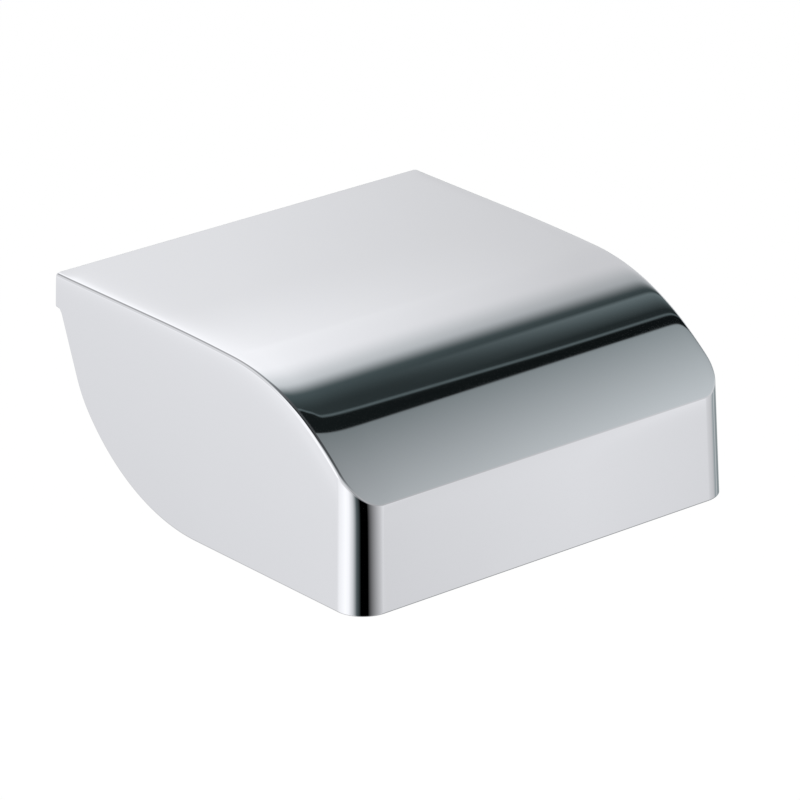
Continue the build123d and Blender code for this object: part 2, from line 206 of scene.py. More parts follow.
def make_pair(name: str, sheets: Sequence[Sheet]) -> list[Object]:
    """Make a piece on the right and its mirror image on the left.

    Args:
        name: The name of both, before _left and _right.
        sheets: The sheets of the right one.

    Returns:
        The left piece and the right piece.
    """
    left = [sheet.mirrored() for sheet in sheets]
    return [make_piece(f"{name}_left", left), make_piece(f"{name}_right", sheets)]


def sweep_between(start: Array, end: Array, steps: int) -> Array:
    """Turn unit vectors evenly into others along the shortest arc.

    The direction at share u is (sin((1 - u) a) start + sin(u a) end) / sin(a), with a the angle
    between the two.

    Args:
        start: Directions, n by 3.
        end: Directions, n by 3.
        steps: How many steps the turn has.

    Returns:
        Directions, steps + 1 by n by 3.
    """
    angle = np.arccos(np.clip((start * end).sum(-1), -1, 1))[None, :, None]
    share = np.linspace(0, 1, steps + 1)[:, None, None]
    turns = angle > SMALL_TURN
    safe = np.where(turns, np.sin(angle), 1.0)
    near = np.where(turns, np.sin((1 - share) * angle) / safe, 1 - share)
    far = np.where(turns, np.sin(share * angle) / safe, share)
    return unit(near * start + far * end)


def parabola(begin: Array, corner: Array, end: Array, u: Array) -> Array:
    """Run from begin to end at shares u of a parabola that is tangent to both runs to a corner."""
    return (1 - u) ** 2 * begin + 2 * u * (1 - u) * corner + u**2 * end


def eased(corners: Array, ease: float, closed: bool, steps: int = 5) -> tuple[Array, Array]:
    """Round the corners of a flat line, each by a parabola that is tangent to both its runs.

    Args:
        corners: The line's corners, n by 2.
        ease: How far from a corner its rounding begins, at most LONGEST_EASE of a run.
        closed: Whether the last corner runs on to the first.
        steps: How many steps a rounding has.

    Returns:
        The points and, at each, the normal away from the side that the line goes round.
    """
    corners = np.asarray(corners, float)
    before, after = np.roll(corners, 1, 0) - corners, np.roll(corners, -1, 0) - corners
    longest = (LONGEST_EASE * np.linalg.norm(run, axis=1) for run in (before, after))
    reach = [np.minimum(ease, length)[:, None] for length in longest]
    begin, end = corners + unit(before) * reach[0], corners + unit(after) * reach[1]
    u = np.linspace(0, 1, steps + 1)[:, None, None]
    points = parabola(begin, corners, end, u)
    run = (1 - u) * -unit(before) + u * unit(after)
    points, run = (part.transpose(1, 0, 2) for part in (points, run))
    if not closed:
        points = [corners[:1], points[1:-1].reshape(-1, 2), corners[-1:]]
        run = [unit(after[:1]), run[1:-1].reshape(-1, 2), unit(-before[-1:])]
    else:
        points, run = [points.reshape(-1, 2)], [run.reshape(-1, 2)]
    points, run = np.concatenate(points), unit(np.concatenate(run))
    x, y = points.T
    turning = np.sign((x * np.roll(y, -1) - np.roll(x, -1) * y).sum())
    return points, vectors(run[:, 1], -run[:, 0]) * turning


@dataclass(frozen=True)
class Axle:
    """An axis about which pieces are turned.

    Args:
        middle: A point on the axis as x, depth and drop.
        axes: Which of x, depth and drop runs along the axis, and which two lie across it.
        sides: How many steps a turn has.
    """

    middle: Triple
    axes: tuple[int, int, int] = (0, 1, 2)
    sides: int = 72

    def carried(self, part: Array, middle: Array) -> Array:
        """Carry (along, radius) pairs round the axis.

        Args:
            part: Pairs for each step of the turn, or pairs that are the same at every step.
            middle: What the turned points are moved by.

        Returns:
            The points at each step, by 3.
        """
        angle = np.arange(self.sides + 1) % self.sides * (2 * np.pi / self.sides)
        along, radius = part[..., 0], part[..., 1]
        out = np.zeros(np.broadcast_shapes(along.shape, angle.shape) + (3,))
        out[..., self.axes[0]] = along
        out[..., self.axes[1]] = radius * np.sin(angle)
        out[..., self.axes[2]] = radius * np.cos(angle)
        return out + middle

    def turned(self, profile: Sequence[Pair], ease: float, closed: bool = False,
               finish: int = 0) -> Sheet:
        """Turn a profile about the axis.

        At angle t a profile point (a, r) goes a along the axis, r sin t and r cos t across it.

        Args:
            profile: Points of (along, radius), in order round the piece's half section.
            ease: How far the profile's corners are rounded.
            closed: Whether the profile closes on itself, as a tube's does.
            finish: Which of the piece's materials the faces take.

        Returns:
            The turned surface.
        """
        points, normals = eased(np.array(profile), ease, closed)
        if closed:
            points, normals = (np.concatenate([part, part[:1]]) for part in (points, normals))
        middle = np.array(self.middle)
        places, ways = (self.carried(part[:, None], at)
                        for part, at in ((points, middle), (normals, 0 * middle)))
        return grid(places, ways, finish)

    def key_socket(self, mouth: float, floor: float, across: float, collar_r: float) -> list[Sheet]:
        """Sink a hexagonal key socket into a flat end.

        The hexagon's radius at angle t is half its width across flats over the cosine of t's
        distance from the nearest flat.

        Args:
            mouth: Where the flat end lies along the axis.
            floor: Where the socket's floor lies.
            across: The socket's width across flats.
            collar_r: Radius at which the flat end's own turned profile begins.

        Returns:
            The floor, the six walls and the flat ring round the mouth.
        """
        angle = np.arange(self.sides + 1) * (2 * np.pi / self.sides)
        off_flat = (angle + np.pi / 6) % (np.pi / 3) - np.pi / 6
        hexagon = across / 2 / np.cos(off_flat)
        middle, outward = np.array(self.middle), np.sign(mouth - floor)

        def ring(along: float, radius: Array | float) -> Array:
            """Give one ring of points."""
            return self.carried(vectors(along + 0 * angle, radius), middle)

        flat, walls = (self.carried(vectors(along + 0 * angle, out), 0 * middle)
                       for along, out in ((outward, 0.0), (0.0, -1.0)))
        stages = ((floor, 0.0), (floor, hexagon), (mouth, hexagon), (mouth, collar_r))
        rings = [ring(along, radius) for along, radius in stages]
        return [grid(np.stack(rings[i:i + 2]), np.stack([way, way]))
                for i, way in enumerate((flat, walls, flat))]


@dataclass(frozen=True)
class Hole:
    """A round hole through a slab.

    Args:
        centre: Where it is in the slab's outline.
        low_r: Its radius at the slab's low face.
        high_r: Its radius at the slab's high face.
    """

    centre: Pair
    low_r: float
    high_r: float


@dataclass(frozen=True)
class Slab:
    """A flat piece of even thickness with eased edges and round holes.

    Args:
        outline: Corners of its outline, n by 2, as (depth, drop) or as axes says.
        corner_ease: How far the outline's corners are rounded.
        low: Where its low face lies along its thickness.
        high: Where its high face lies.
        edge: Radius of its eased edges.
        holes: The holes through it.
        axes: Which of x, depth and drop are the outline's two axes and the thickness.
        finish: Which of the piece's materials the faces take.
        edge_steps: How many steps an eased edge has.
        corner_steps: How many steps a rounded corner of the outline has.
        hole_sides: How many sides a hole has.
    """

    outline: Array
    corner_ease: float
    low: float
    high: float
    edge: float
    holes: tuple[Hole, ...] = ()
    axes: tuple[int, int, int] = (1, 2, 0)
    finish: int = 0
    edge_steps: int = 4
    corner_steps: int = 6
    hole_sides: int = 48

    def lifted(self, flat: Array, level: Array) -> Array:
        """Put flat points and their levels along the thickness into x, depth and drop.

        Args:
            flat: Points in the plane of the outline.
            level: Their levels.

        Returns:
            The points.
        """
        out = np.zeros(np.broadcast_shapes(flat.shape[:-1], level.shape) + (3,))
        out[..., self.axes[0]], out[..., self.axes[1]] = flat[..., 0], flat[..., 1]
        out[..., self.axes[2]] = level
        return out

    def band(self, line: Array, out: Array, spread: Array) -> Sheet:
        """Carry the edge's profile along a closed line.

        The profile is a quarter circle from the low face to the wall and one from the wall to the
        high face, set out from the line by spread at each face.

        Args:
            line: The line's points.
            out: Normals of the line, away from the piece.
            spread: How far out the edge lies at the low and at the high face.

        Returns:
            The edge all round.
        """
        turn = np.linspace(0, np.pi / 2, self.edge_steps + 1)
        swing = np.concatenate([turn - np.pi / 2, turn])
        level = np.repeat([self.low + self.edge, self.high - self.edge], len(turn))
        level = level + self.edge * np.sin(swing)
        share = ((level - self.low) / (self.high - self.low))[:, None]
        shift = self.edge * (np.cos(swing) - 1)[:, None] + spread[0] + np.diff(spread) * share
        line, out = (np.concatenate([part, part[:1]])[None] for part in (line, out))
        points = self.lifted(line + out * shift[..., None], level[:, None] + 0 * shift)
        flat = out * np.cos(swing)[:, None, None]
        normals = self.lifted(flat, np.sin(swing)[:, None] + 0 * flat[..., 0])
        return grid(points, normals, self.finish)

    def cap(self, rings: Sequence[Array], holes: Sequence[tuple[Array, float]], level: float,
            side: int) -> Sheet:
        """Fill a face between its outline and its holes with triangles.

        Args:
            rings: The outline and the holes' rims, as closed lines.
            holes: Centre and radius of each hole.
            level: Where the face lies.
            side: 1 for the high face, -1 for the low one.

        Returns:
            The face.
        """
        flat = np.concatenate(rings)
        starts = np.cumsum([0] + [len(ring) for ring in rings])
        edges = [(a, b) for s, e in zip(starts[:-1], starts[1:])
                 for a, b in zip(range(s, e), [*range(s + 1, e), s])]
        points = [Vector(p) for p in flat.tolist()]
        _, _, faces, origin, _, _ = delaunay_2d_cdt(points, edges, [], FILL_INSIDE, FILL_GAP)
        source = np.array([ids[0] for ids in origin])
        faces = source[np.array(faces)]
        middle = flat[faces].mean(1)
        keep = np.ones(len(faces), bool)
        for centre, radius in holes:
            keep &= np.linalg.norm(middle - centre, axis=1) > radius * HOLE_SHARE
        faces = faces[keep]
        normals = self.lifted(np.zeros_like(flat), np.full(len(flat), float(side)))
        four = np.concatenate([faces, faces[:, -1:]], 1)
        return Sheet(self.lifted(flat, np.full(len(flat), level)), normals, four, self.finish)

    def sheets(self) -> list[Sheet]:
        """Build the slab's edges and faces.

        Returns:
            The sheets that close it.
        """
        line, out = eased(self.outline, self.corner_ease, True, self.corner_steps)
        made = [self.band(line, out, np.zeros(2))]
        rings = {-1: [line - out * self.edge], 1: [line - out * self.edge]}
        discs: dict[int, list[tuple[Array, float]]] = {-1: [], 1: []}
        angle = np.linspace(0, 2 * np.pi, self.hole_sides, endpoint=False)
        ray = vectors(np.cos(angle), np.sin(angle))
        for hole in self.holes:
            centre = np.array(hole.centre)
            made.append(self.band(centre + 0 * ray, -ray, np.array([-hole.low_r, -hole.high_r])))
            for side, radius in ((-1, hole.low_r), (1, hole.high_r)):
                rings[side].append(centre + ray * (radius + self.edge))
                discs[side].append((centre, radius + self.edge))
        levels = {-1: self.low, 1: self.high}
        return made + [self.cap(rings[side], discs[side], levels[side], side) for side in levels]


def arc_line(centre: Pair, radius: float, start: float, end: float, steps: int) -> Array:
    """Lay points on an arc: centre + radius (cos t, sin t) with t in degrees from start to end."""
    t = np.radians(np.linspace(start, end, steps + 1))
    return np.array(centre) + radius * vectors(np.cos(t), np.sin(t))


def bent(before: Array, corner: Array, after: Array, reach: float, steps: int = 10) -> Array:
    """Round one corner by a parabola that leaves each run at reach from the corner."""
    begin, end = (corner + unit(other - corner) * reach for other in (before, after))
    return parabola(begin, corner, end, np.linspace(0, 1, steps + 1)[:, None])


def fanned(point: Array, share: Array) -> Array:
    """Lay points between the middle plane and a point, at shares of its x."""
    return point * vectors(share, 1.0, 1.0)


def tube(span: Pair, radii: Pair) -> list[Pair]:
    """Lay a plain tube's half section from its ends along its axis and its two radii."""
    (begin, end), (bore, outer) = span, radii
    return [(begin, bore), (end, bore), (end, outer), (begin, outer)]


def smooth(share: Array) -> Array:
    """Ease a share from 0 to 1 with level ends: 3 s squared - 2 s cubed."""
    share = np.clip(share, 0, 1)
    return share**2 * (3 - 2 * share)


@dataclass(frozen=True)
class Skin:
    """One skin of the hood.

    Args:
        inset: How far it lies inside the outer skin.
        rear: Depth of its rear face.
        rear_r: Radius of its two rear corners.
        edge_r: Radius of the edge between roof and walls.
        crease_r: Radius of the crease between roof and front.
        roll: Slope to which buffing rolls the roof off at its side edges, and how far in it fades
            on the left and on the right.
        wall_roll: Slopes to which it rolls the cheeks' and the front's upper edges, and how far
            down they fade.
    """

    inset: float
    rear: float
    rear_r: float
    edge_r: float
    crease_r: float
    roll: Triple = (0.0, 1.0, 1.0)
    wall_roll: Triple = (0.0, 0.0, 1.0)


@dataclass(frozen=True)
class Rim:
    """The right half of a skin's rim, from the middle of the rear round to the middle of the front.

    Args:
        centre: Centres of the ball that rolls along the roof's edge, n by 3.
        radius: The ball's radius at each.
        wall: Wall normals.
        roof: Roof normals under the ball.
        plain: Roof normals without the roll at the edge.
        sunk: How far the roll lowers the roof's edge.
        lean: Slope to which the wall's upper edge is rolled.
        rise: Directions up the wall, square to the edge.
        base: The foot of the wall, before its edge is rounded.
        under: Normals of the cut face at that foot.
    """

    centre: Array
    radius: Array
    wall: Array
    roof: Array
    plain: Array
    sunk: Array
    lean: Array
    rise: Array
    base: Array
    under: Array


@dataclass(frozen=True)
class Hood:
    """The hinged hood: a flat roof bent over the front, a front face, two cheeks and a rear lip.

    Each skin is a set of drafted walls with a roof laid over them. A ball rolled along the edge
    between the two gives the rounded edge: its centre keeps the ball's radius from both, and the
    edge is what it sweeps from the roof's normal to the wall's.

    Args:
        arcs: Radius and last slope in degrees of each arc in which the roof bends down.
        cheek_lean: Slope of the cheek's rear edge under the lip.
        cheek_turn: Slope at which that edge changes from its first radius to its second.
        roll_start: How far behind its rear corner the buffed roll of a side edge is complete.
        roll_depth: How far buffing lowers an edge.
        boss_sink: How far a hinge boss reaches into the roof and the lip.
        boss_heel: How far below the hinge a boss meets the lip.
        boss_eases: Rounding of a boss's outline and of its edges.
        row_length: Longest distance between rows of points along a cheek.
        row_turn: Most degrees that the roof turns from row to row.
        crowding: How much closer together points lie at an edge than far from it.
        settle_rounds: How often a front corner's ball is set between wall and roof.
    """

    roof_width: float = 133.0
    depth: float = 136.3
    height: float = 60.0
    side_draft: float = math.radians(1.9)
    front_draft: float = math.radians(2.45)
    front_r: float = 9.1
    arcs: tuple[Pair, ...] = ((800.0, 2.5), (70.5, 34.0), (105.0, 47.5))
    lip_wall: float = 3.0
    lip_height: float = 10.1
    cheek_lean: float = math.radians(90 - 23.2)
    cheek_turn: float = math.radians(90 - 23.2 - 17.0)
    cheek_radii: Pair = (36.0, 64.0)
    foot_r: float = 0.5
    foot_fade: float = 1.5
    foot_edge_steps: int = 5
    outer: Skin = Skin(0.0, 0.0, 1.6, 1.1, 0.8, (math.tan(math.radians(4.5)), 3.0, 1.0),
                       (math.tan(math.radians(3.5)), math.tan(math.radians(3.5)), 2.0))
    inner: Skin = Skin(2.5, 3.0, 1.0, 1.0, 1.0)
    roll_start: float = 6.0
    roll_depth: float = 0.06
    hinge: Pair = HINGE_AXIS
    boss_r: float = 5.0
    boss_span: Pair = (58.5, 65.2)
    boss_arc: float = 165.0
    boss_steps: int = 22
    boss_sink: float = 0.4
    boss_heel: float = 1.3
    boss_eases: Pair = (0.8, 0.25)
    bush_r: float = BUSH_R
    row_length: float = 3.0
    row_turn: float = 0.6
    settle_rounds: int = 12
    columns: int = 30
    wall_rows: int = 14
    crowding: float = 4.0
    rear_steps: int = 8
    stub_steps: int = 3
    sweep_steps: int = 64
    foot_steps: int = 32
    corner_steps: int = 36
    edge_steps: int = 10

    def roof_centres(self) -> tuple[float, Array]:
        """Find where the flat roof ends and where the arcs after it turn.

        From slope a to b an arc of radius R runs R (sin b - sin a) ahead and R (cos a - cos b) down,
        and the arcs are set back so that the last of them ends on the front.

        Returns:
            The depth where it ends, and the arcs' centres as (depth, drop).
        """
        slopes = np.radians([0.0] + [slope for _, slope in self.arcs])
        radii = np.array([radius for radius, _ in self.arcs])
        ahead = radii * (np.sin(slopes[1:]) - np.sin(slopes[:-1]))
        down = radii * (np.cos(slopes[:-1]) - np.cos(slopes[1:]))
        start = self.front_at(down.sum(), 0.0) - ahead.sum()
        begin = vectors(start + np.cumsum(ahead) - ahead, np.cumsum(down) - down)
        turn = vectors(-np.sin(slopes[:-1]), np.cos(slopes[:-1]))
        return start, begin + radii[:, None] * turn

    def front_at(self, drop: Array | float, inset: float) -> Array | float:
        """Give the depth of the front face at a drop: it leans out towards the foot."""
        lean = self.front_draft
        return self.depth - (self.height - drop) * math.tan(lean) - inset / math.cos(lean)

    def side_at(self, drop: Array | float, inset: float) -> Array | float:
        """Give the x of the right cheek at a drop: it leans out towards the foot."""
        lean = self.side_draft
        return self.roof_width / 2 + drop * math.tan(lean) - inset / math.cos(lean)

    def roof_at(self, depth: Array, inset: Array | float) -> tuple[Array, Array]:
        """Find the roof's drop and slope at a depth.

        On an arc set in by inset, sin(slope) is the depth from its centre over its radius, and the
        drop is the centre's drop less that radius times cos(slope).

        Args:
            depth: Depths.
            inset: How far the roof is set in there.

        Returns:
            The drops and the slopes in radians.
        """
        start, centres = self.roof_centres()
        radii = np.array([radius for radius, _ in self.arcs])[:, None] - inset + 0 * depth
        ends = np.radians([slope for _, slope in self.arcs])
        sine = (depth - centres[:, :1]) / radii
        slope = np.arcsin(np.clip(sine, 0, STEEPEST))
        which = np.minimum((slope > ends[:, None]).cumprod(0).sum(0), len(self.arcs) - 1)
        pick = np.arange(len(depth))
        slope = slope[which, pick]
        drop = centres[which, 1] - radii[which, pick] * np.cos(slope)
        flat = depth <= start
        return np.where(flat, inset, drop), np.where(flat, 0.0, slope)

    def sweep_line(self) -> tuple[Array, Array, Array]:
        """Lay the cheek's rear edge: a straight, leaning run, then two arcs that flatten out.

        Along an arc of radius R that flattens from slope a to b, depth grows by R (sin a - sin b)
        and drop by R (cos b - cos a).

        Returns:
            Depths, drops and slopes along it from under the lip.
        """
        first, second = self.cheek_radii
        lean, turn = self.cheek_lean, self.cheek_turn
        fall = first * (math.cos(turn) - math.cos(lean)) + second * (1 - math.cos(turn))
        straight = self.height - self.lip_height - fall
        knee = (self.lip_wall + straight / math.tan(lean), self.lip_height + straight)
        a, b = np.linspace(lean, turn, FINE_STEPS + 1), np.linspace(turn, 0, 4 * FINE_STEPS + 1)
        bend = (knee[0] + first * (math.sin(lean) - np.sin(a)),
                knee[1] + first * (np.cos(a) - math.cos(lean)))
        flat = (bend[0][-1] + second * (math.sin(turn) - np.sin(b)),
                bend[1][-1] + second * (np.cos(b) - math.cos(turn)))
        depth = np.concatenate([[self.lip_wall], bend[0], flat[0][1:]])
        drop = np.concatenate([[self.lip_height], bend[1], flat[1][1:]])
        return depth, drop, np.concatenate([[lean], a, b[1:]])

    def axis_point(self, front: bool, skin: Skin, normal: Array, reach: Array | float,
                   drop: Array) -> Array:
        """Find the point at a drop on a corner's cylinder, out from its axis along a normal.

        Args:
            front: Whether it is a front corner or a rear one.
            skin: Which skin.
            normal: Directions out from the axis, n by 3.
            reach: How far out.
            drop: At which drops.

        Returns:
            The points, n by 3.
        """
        out = normal * np.broadcast_to(np.asarray(reach, float), normal.shape[:1])[:, None]
        level = drop - out[:, 2]
        if front:
            x, depth = self.side_at(level, self.front_r), self.front_at(level, self.front_r)
        else:
            x, depth = self.side_at(level, skin.inset + skin.rear_r), skin.rear + skin.rear_r
        return vectors(x, depth, level) + out

    def spread_of(self, front_depth: float, skin: Skin, steps: int) -> Array:
        """Share out depths along a cheek's top, closest together where the roof bends most.

        Args:
            front_depth: Where the cheek ends.
            skin: Which skin.
            steps: How many steps it has.

        Returns:
            The depths, without the first.
        """
        depth = np.linspace(skin.rear + skin.rear_r, front_depth, 20 * FINE_STEPS + 1)
        drop, slope = self.roof_at(depth, skin.inset)
        length = np.concatenate([[0], np.cumsum(np.hypot(np.diff(depth), np.diff(drop)))])
        weight = length / self.row_length + np.degrees(slope) / self.row_turn
        return np.interp(np.linspace(0, weight[-1], steps + 1)[1:], weight, depth)

    def crowded(self, share: Array) -> Array:
        """Draw shares together towards 0: (exp(c s) - 1) / (exp(c) - 1)."""
        return np.expm1(self.crowding * share) / math.expm1(self.crowding)

    def shares(self) -> Array:
        """Share out the columns from the middle to a side, ever closer towards the edge."""
        return 1 - self.crowded(np.linspace(1, 0, self.columns + 1))

    def wall_normals(self) -> tuple[Array, Array, Array]:
        """Find the outward normals of the walls from their drafts.

        Returns:
            Those of the rear, the right cheek and the front, each 1 by 3.
        """
        side, front = self.side_draft, self.front_draft
        return (np.array([[0.0, -1.0, 0.0]]), np.array([[math.cos(side), 0.0, -math.sin(side)]]),
                np.array([[0.0, math.cos(front), -math.sin(front)]]))

    def foot_line(self, skin: Skin) -> tuple[Array, Array]:
        """Lay the foot of a cheek from its rear corner to its front corner.

        Args:
            skin: Which skin the cheek belongs to.

        Returns:
            The (depth, drop) points and the slope of the foot's line at each.
        """
        depth, drop, slope = self.sweep_line()
        length = np.concatenate([[0], np.cumsum(np.hypot(np.diff(depth), np.diff(drop)))])
        inner = self.inner
        turn = np.linspace(0, np.pi / 2, self.rear_steps + 1)[1:]
        near = inner.rear + inner.rear_r * (1 - np.cos(turn))
        from_length = np.interp(near[-1], depth, length)
        run = np.linspace(from_length, length[-1], self.sweep_steps + 1)[1:]
        rest = vectors(*(np.interp(run, length, part) for part in (depth, drop, slope)))
        _, side, _ = self.wall_normals()
        end = self.axis_point(True, skin, side, self.front_r - skin.inset, np.array([self.height]))
        foot = np.linspace(rest[-1, 0], end[0, 1], self.foot_steps + 1)[1:]
        parts = [rest, vectors(foot, self.height, 0.0)]
        if skin is self.outer:
            stub = np.linspace(skin.rear + skin.rear_r, self.lip_wall, self.stub_steps + 1)[1:]
            turned = vectors(near, *(np.interp(near, depth, part) for part in (drop, slope)))
            parts = [vectors(stub, self.lip_height, 0.0), turned, *parts]
        line = np.concatenate(parts)
        return line[:, :2], line[:, 2]

    def rim(self, skin: Skin) -> Rim:
        """Work out the right half of a skin's rim.

        Args:
            skin: Which skin.

        Returns:
            The rim, from the middle of the rear to the middle of the front.
        """
        rear_n, side_n, front_n = self.wall_normals()
        share = self.shares()
        foot, foot_slope = self.foot_line(skin)
        pressed = self.roll_depth if skin is self.outer else 0.0
        q, wall_q = skin.inset + skin.edge_r, skin.inset + skin.edge_r + pressed
        rear_turn = sweep_between(rear_n, side_n, self.rear_steps)[:, 0]
        front_turn = sweep_between(side_n, front_n, self.corner_steps)[:, 0]

        # Rear face and rear corner, under the flat roof
        reach = skin.rear_r - skin.edge_r - pressed
        corner = self.axis_point(False, skin, rear_turn, reach, np.full(len(rear_turn), q))
        rear = fanned(corner[0], share)

        # Front corner: its ball centre lies on the corner's cylinder and under the roof
        bend = smooth(np.linspace(0, 1, self.corner_steps + 1))
        radius = skin.edge_r + (skin.crease_r - skin.edge_r) * bend
        lowered = pressed * (1 - bend)
        drop = np.full(len(bend), self.height / 2)
        reach = self.front_r - skin.inset - radius - pressed
        for _ in range(self.settle_rounds):
            turn = self.axis_point(True, skin, front_turn, reach, drop)
            drop, slope = self.roof_at(turn[:, 1], skin.inset + radius + lowered)
        front_share = share[::-1][1:]
        front = fanned(turn[-1], front_share)

        # Cheek between the two corners
        depth = self.spread_of(turn[0, 1], skin, len(foot))
        fade = smooth((depth - skin.rear - skin.rear_r) / self.roll_start)
        cheek_drop, cheek_slope = self.roof_at(depth, q + pressed * fade)
        cheek = vectors(self.side_at(cheek_drop, wall_q), depth, cheek_drop)

        counts = [len(rear), len(corner) - 1, len(cheek), len(turn) - 1, len(front)]
        level, sides = np.zeros(sum(counts[:2])), sum(counts[:3])
        slopes = np.concatenate([level, cheek_slope, slope[1:], np.full(counts[4], slope[-1])])
        fades = np.concatenate([level, fade, 1 - bend[1:], np.zeros(counts[4])])
        plain = vectors(0.0, np.sin(slopes), -np.cos(slopes))
        tilt = vectors(skin.roll[0] * fades, 0.0, 0.0)
        wall = np.concatenate([np.repeat(rear_n, counts[0], 0), rear_turn[1:],
                               np.repeat(side_n, counts[2], 0), front_turn[1:],
                               np.repeat(front_n, counts[4], 0)])
        radii = [np.full(sides, skin.edge_r), radius[1:], np.full(counts[4], skin.crease_r)]
        turned = np.concatenate([np.zeros(sides), bend[1:], np.ones(counts[4])])[:, None]

        # Foot of the wall below each of them
        lip = np.full(len(rear_turn), self.lip_height)
        if skin is self.inner:
            line_depth, line_drop, _ = self.sweep_line()
            lip = np.interp(skin.rear + skin.rear_r * (1 + rear_turn[:, 1]), line_depth, line_drop)
        low_corner = self.axis_point(False, skin, rear_turn, skin.rear_r, lip)
        low_rear = fanned(low_corner[0], share)
        low_cheek = vectors(self.side_at(foot[:, 1], skin.inset), *foot.T)
        low = np.full(len(front_turn), self.height)
        low_turn = self.axis_point(True, skin, front_turn, self.front_r - skin.inset, low)
        low_front = fanned(low_turn[-1], front_share)
        angle = np.concatenate([level, foot_slope, np.zeros(sum(counts[3:]))])
        return Rim(
            centre=np.concatenate([rear, corner[1:], cheek, turn[1:], front]),
            radius=np.concatenate(radii)[:, None],
            wall=wall,
            roof=unit(plain + tilt),
            plain=plain,
            sunk=pressed * fades,
            lean=skin.wall_roll[0] + (skin.wall_roll[1] - skin.wall_roll[0]) * turned,
            rise=unit(plain - (plain * wall).sum(1, keepdims=True) * wall),
            base=np.concatenate([low_rear, low_corner[1:], low_cheek, low_turn[1:], low_front]),
            under=vectors(0.0, -np.sin(angle), np.cos(angle)),
        )

    def roof_sheet(self, rim: Rim, skin: Skin, facing: int) -> Sheet:
        """Lay the roof between the two sides of its rim, row by row.

        Across a row the roof is straight, but at e from its edge it is rolled off by
        sunk exp(-e / fade) and leans to the side by roll exp(-e / fade), as buffing leaves an edge.

        Args:
            rim: The skin's rim.
            skin: The skin.
            facing: 1 for a roof seen from above, -1 for one seen from below.

        Returns:
            The roof.
        """
        pick = slice(self.columns, len(rim.centre) - self.columns)
        edge = rim.centre[pick] + rim.radius[pick] * rim.roof[pick]
        share = self.shares()
        share = np.concatenate([-share[:0:-1], share])
        x = edge[:, :1] * share
        near = np.exp((np.abs(x) - edge[:, :1]) / np.where(share < 0, skin.roll[1], skin.roll[2]))
        lean = rim.roof[pick, :1] / np.linalg.norm(rim.roof[pick, 1:], axis=1, keepdims=True)
        points = vectors(x, edge[:, 1:2], edge[:, 2:])
        points = points + (rim.sunk[pick, None] * (1 - near))[..., None] * rim.plain[pick, None]
        side = vectors(lean * near * np.sign(share), 0.0, 0.0)
        return grid(points, facing * unit(rim.plain[pick, None] + side), int(facing < 0))

    def wall_top(self, rim: Rim) -> Array:
        """Give the wall's normals at its rolled upper edge."""
        return unit(rim.wall + rim.lean * rim.rise)

    def edge_sheet(self, rim: Rim, facing: int) -> Sheet:
        """Sweep the rolling ball's edge from the roof's normal to the wall's."""
        ways = sweep_between(rim.roof, self.wall_top(rim), self.edge_steps)
        return grid(rim.centre + rim.radius * ways, facing * ways, int(facing < 0))

    def wall_sheet(self, rim: Rim, skin: Skin, foot: Array, facing: int) -> Sheet:
        """Rule the wall down from the rounded edge to its foot.

        At s below its edge it is pressed in by a share exp(-s / fade) of the roll, less what is
        left of that at the foot, and leans up by roll exp(-s / fade).

        Args:
            rim: The skin's rim.
            skin: The skin.
            foot: Points at the foot of the wall.
            facing: 1 for a wall seen from outside, -1 for one seen from inside.

        Returns:
            The wall.
        """
        fade = skin.wall_roll[2]
        top = rim.centre + rim.radius * self.wall_top(rim)
        flat = rim.centre + (rim.radius + self.roll_depth * (facing > 0)) * rim.wall
        hollow = ((flat - top) * rim.wall).sum(1, keepdims=True)
        head = top + hollow * rim.wall
        share = self.crowded(np.linspace(0, 1, self.wall_rows + 1))
        points = head + (foot - head) * share[:, None, None]
        below = ((head - points) * rim.rise).sum(-1, keepdims=True)
        near, last = np.exp(-below / fade), np.exp(-below[-1:] / fade)
        points = points - hollow * (near - last) / (1 - last) * rim.wall
        return grid(points, facing * unit(rim.wall + rim.lean * near * rim.rise), int(facing < 0))

    def foot_sheets(self, outer: Rim, inner: Rim) -> tuple[Array, list[Sheet]]:
        """Round the outer edge of the foot and close the cut face across the wall's thickness.

        Args:
            outer: The outer skin's rim.
            inner: The inner skin's rim.

        Returns:
            The foot of the outer wall above its rounded edge, and the sheets.
        """
        notch = self.columns + self.rear_steps + self.stub_steps
        sheets, tops = [], []
        width = self.rear_steps + self.stub_steps
        for run in (slice(0, notch + 1), slice(notch, None)):
            base, wall, under = outer.base[run], outer.wall[run], outer.under[run].copy()
            if run.start == 0:
                under[:] = (0.0, 0.0, 1.0)
            else:
                under[0] = under[1]
            reach = np.linalg.norm(base - outer.base[notch], axis=1)
            radius = self.foot_r * smooth(reach / self.foot_fade)[:, None]
            lean = 1 + (wall * under).sum(1, keepdims=True)
            centre = base - radius * (wall + under) / lean
            ways = sweep_between(wall, under, self.foot_edge_steps)
            sheets.append(grid(centre + radius * ways, ways))
            tops.append(centre + radius * wall)
            rim_edge = centre + radius * under
            if run.start == 0:
                x = np.concatenate([
                    self.shares() * inner.base[self.columns, 0],
                    np.linspace(inner.base[self.columns, 0], outer.base[notch, 0], width + 1)[1:],
                ])
                inside = vectors(x, self.lip_wall, self.lip_height)
                share = np.array([0.0, 1.0])
            else:
                inside = inner.base[self.columns:]
                share = np.linspace(0, 1, width + 1)
            points = rim_edge + (inside - rim_edge) * share[:, None, None]
            sheets.append(grid(points, np.broadcast_to(under, points.shape)))
        return np.concatenate([tops[0], tops[1][1:]]), sheets

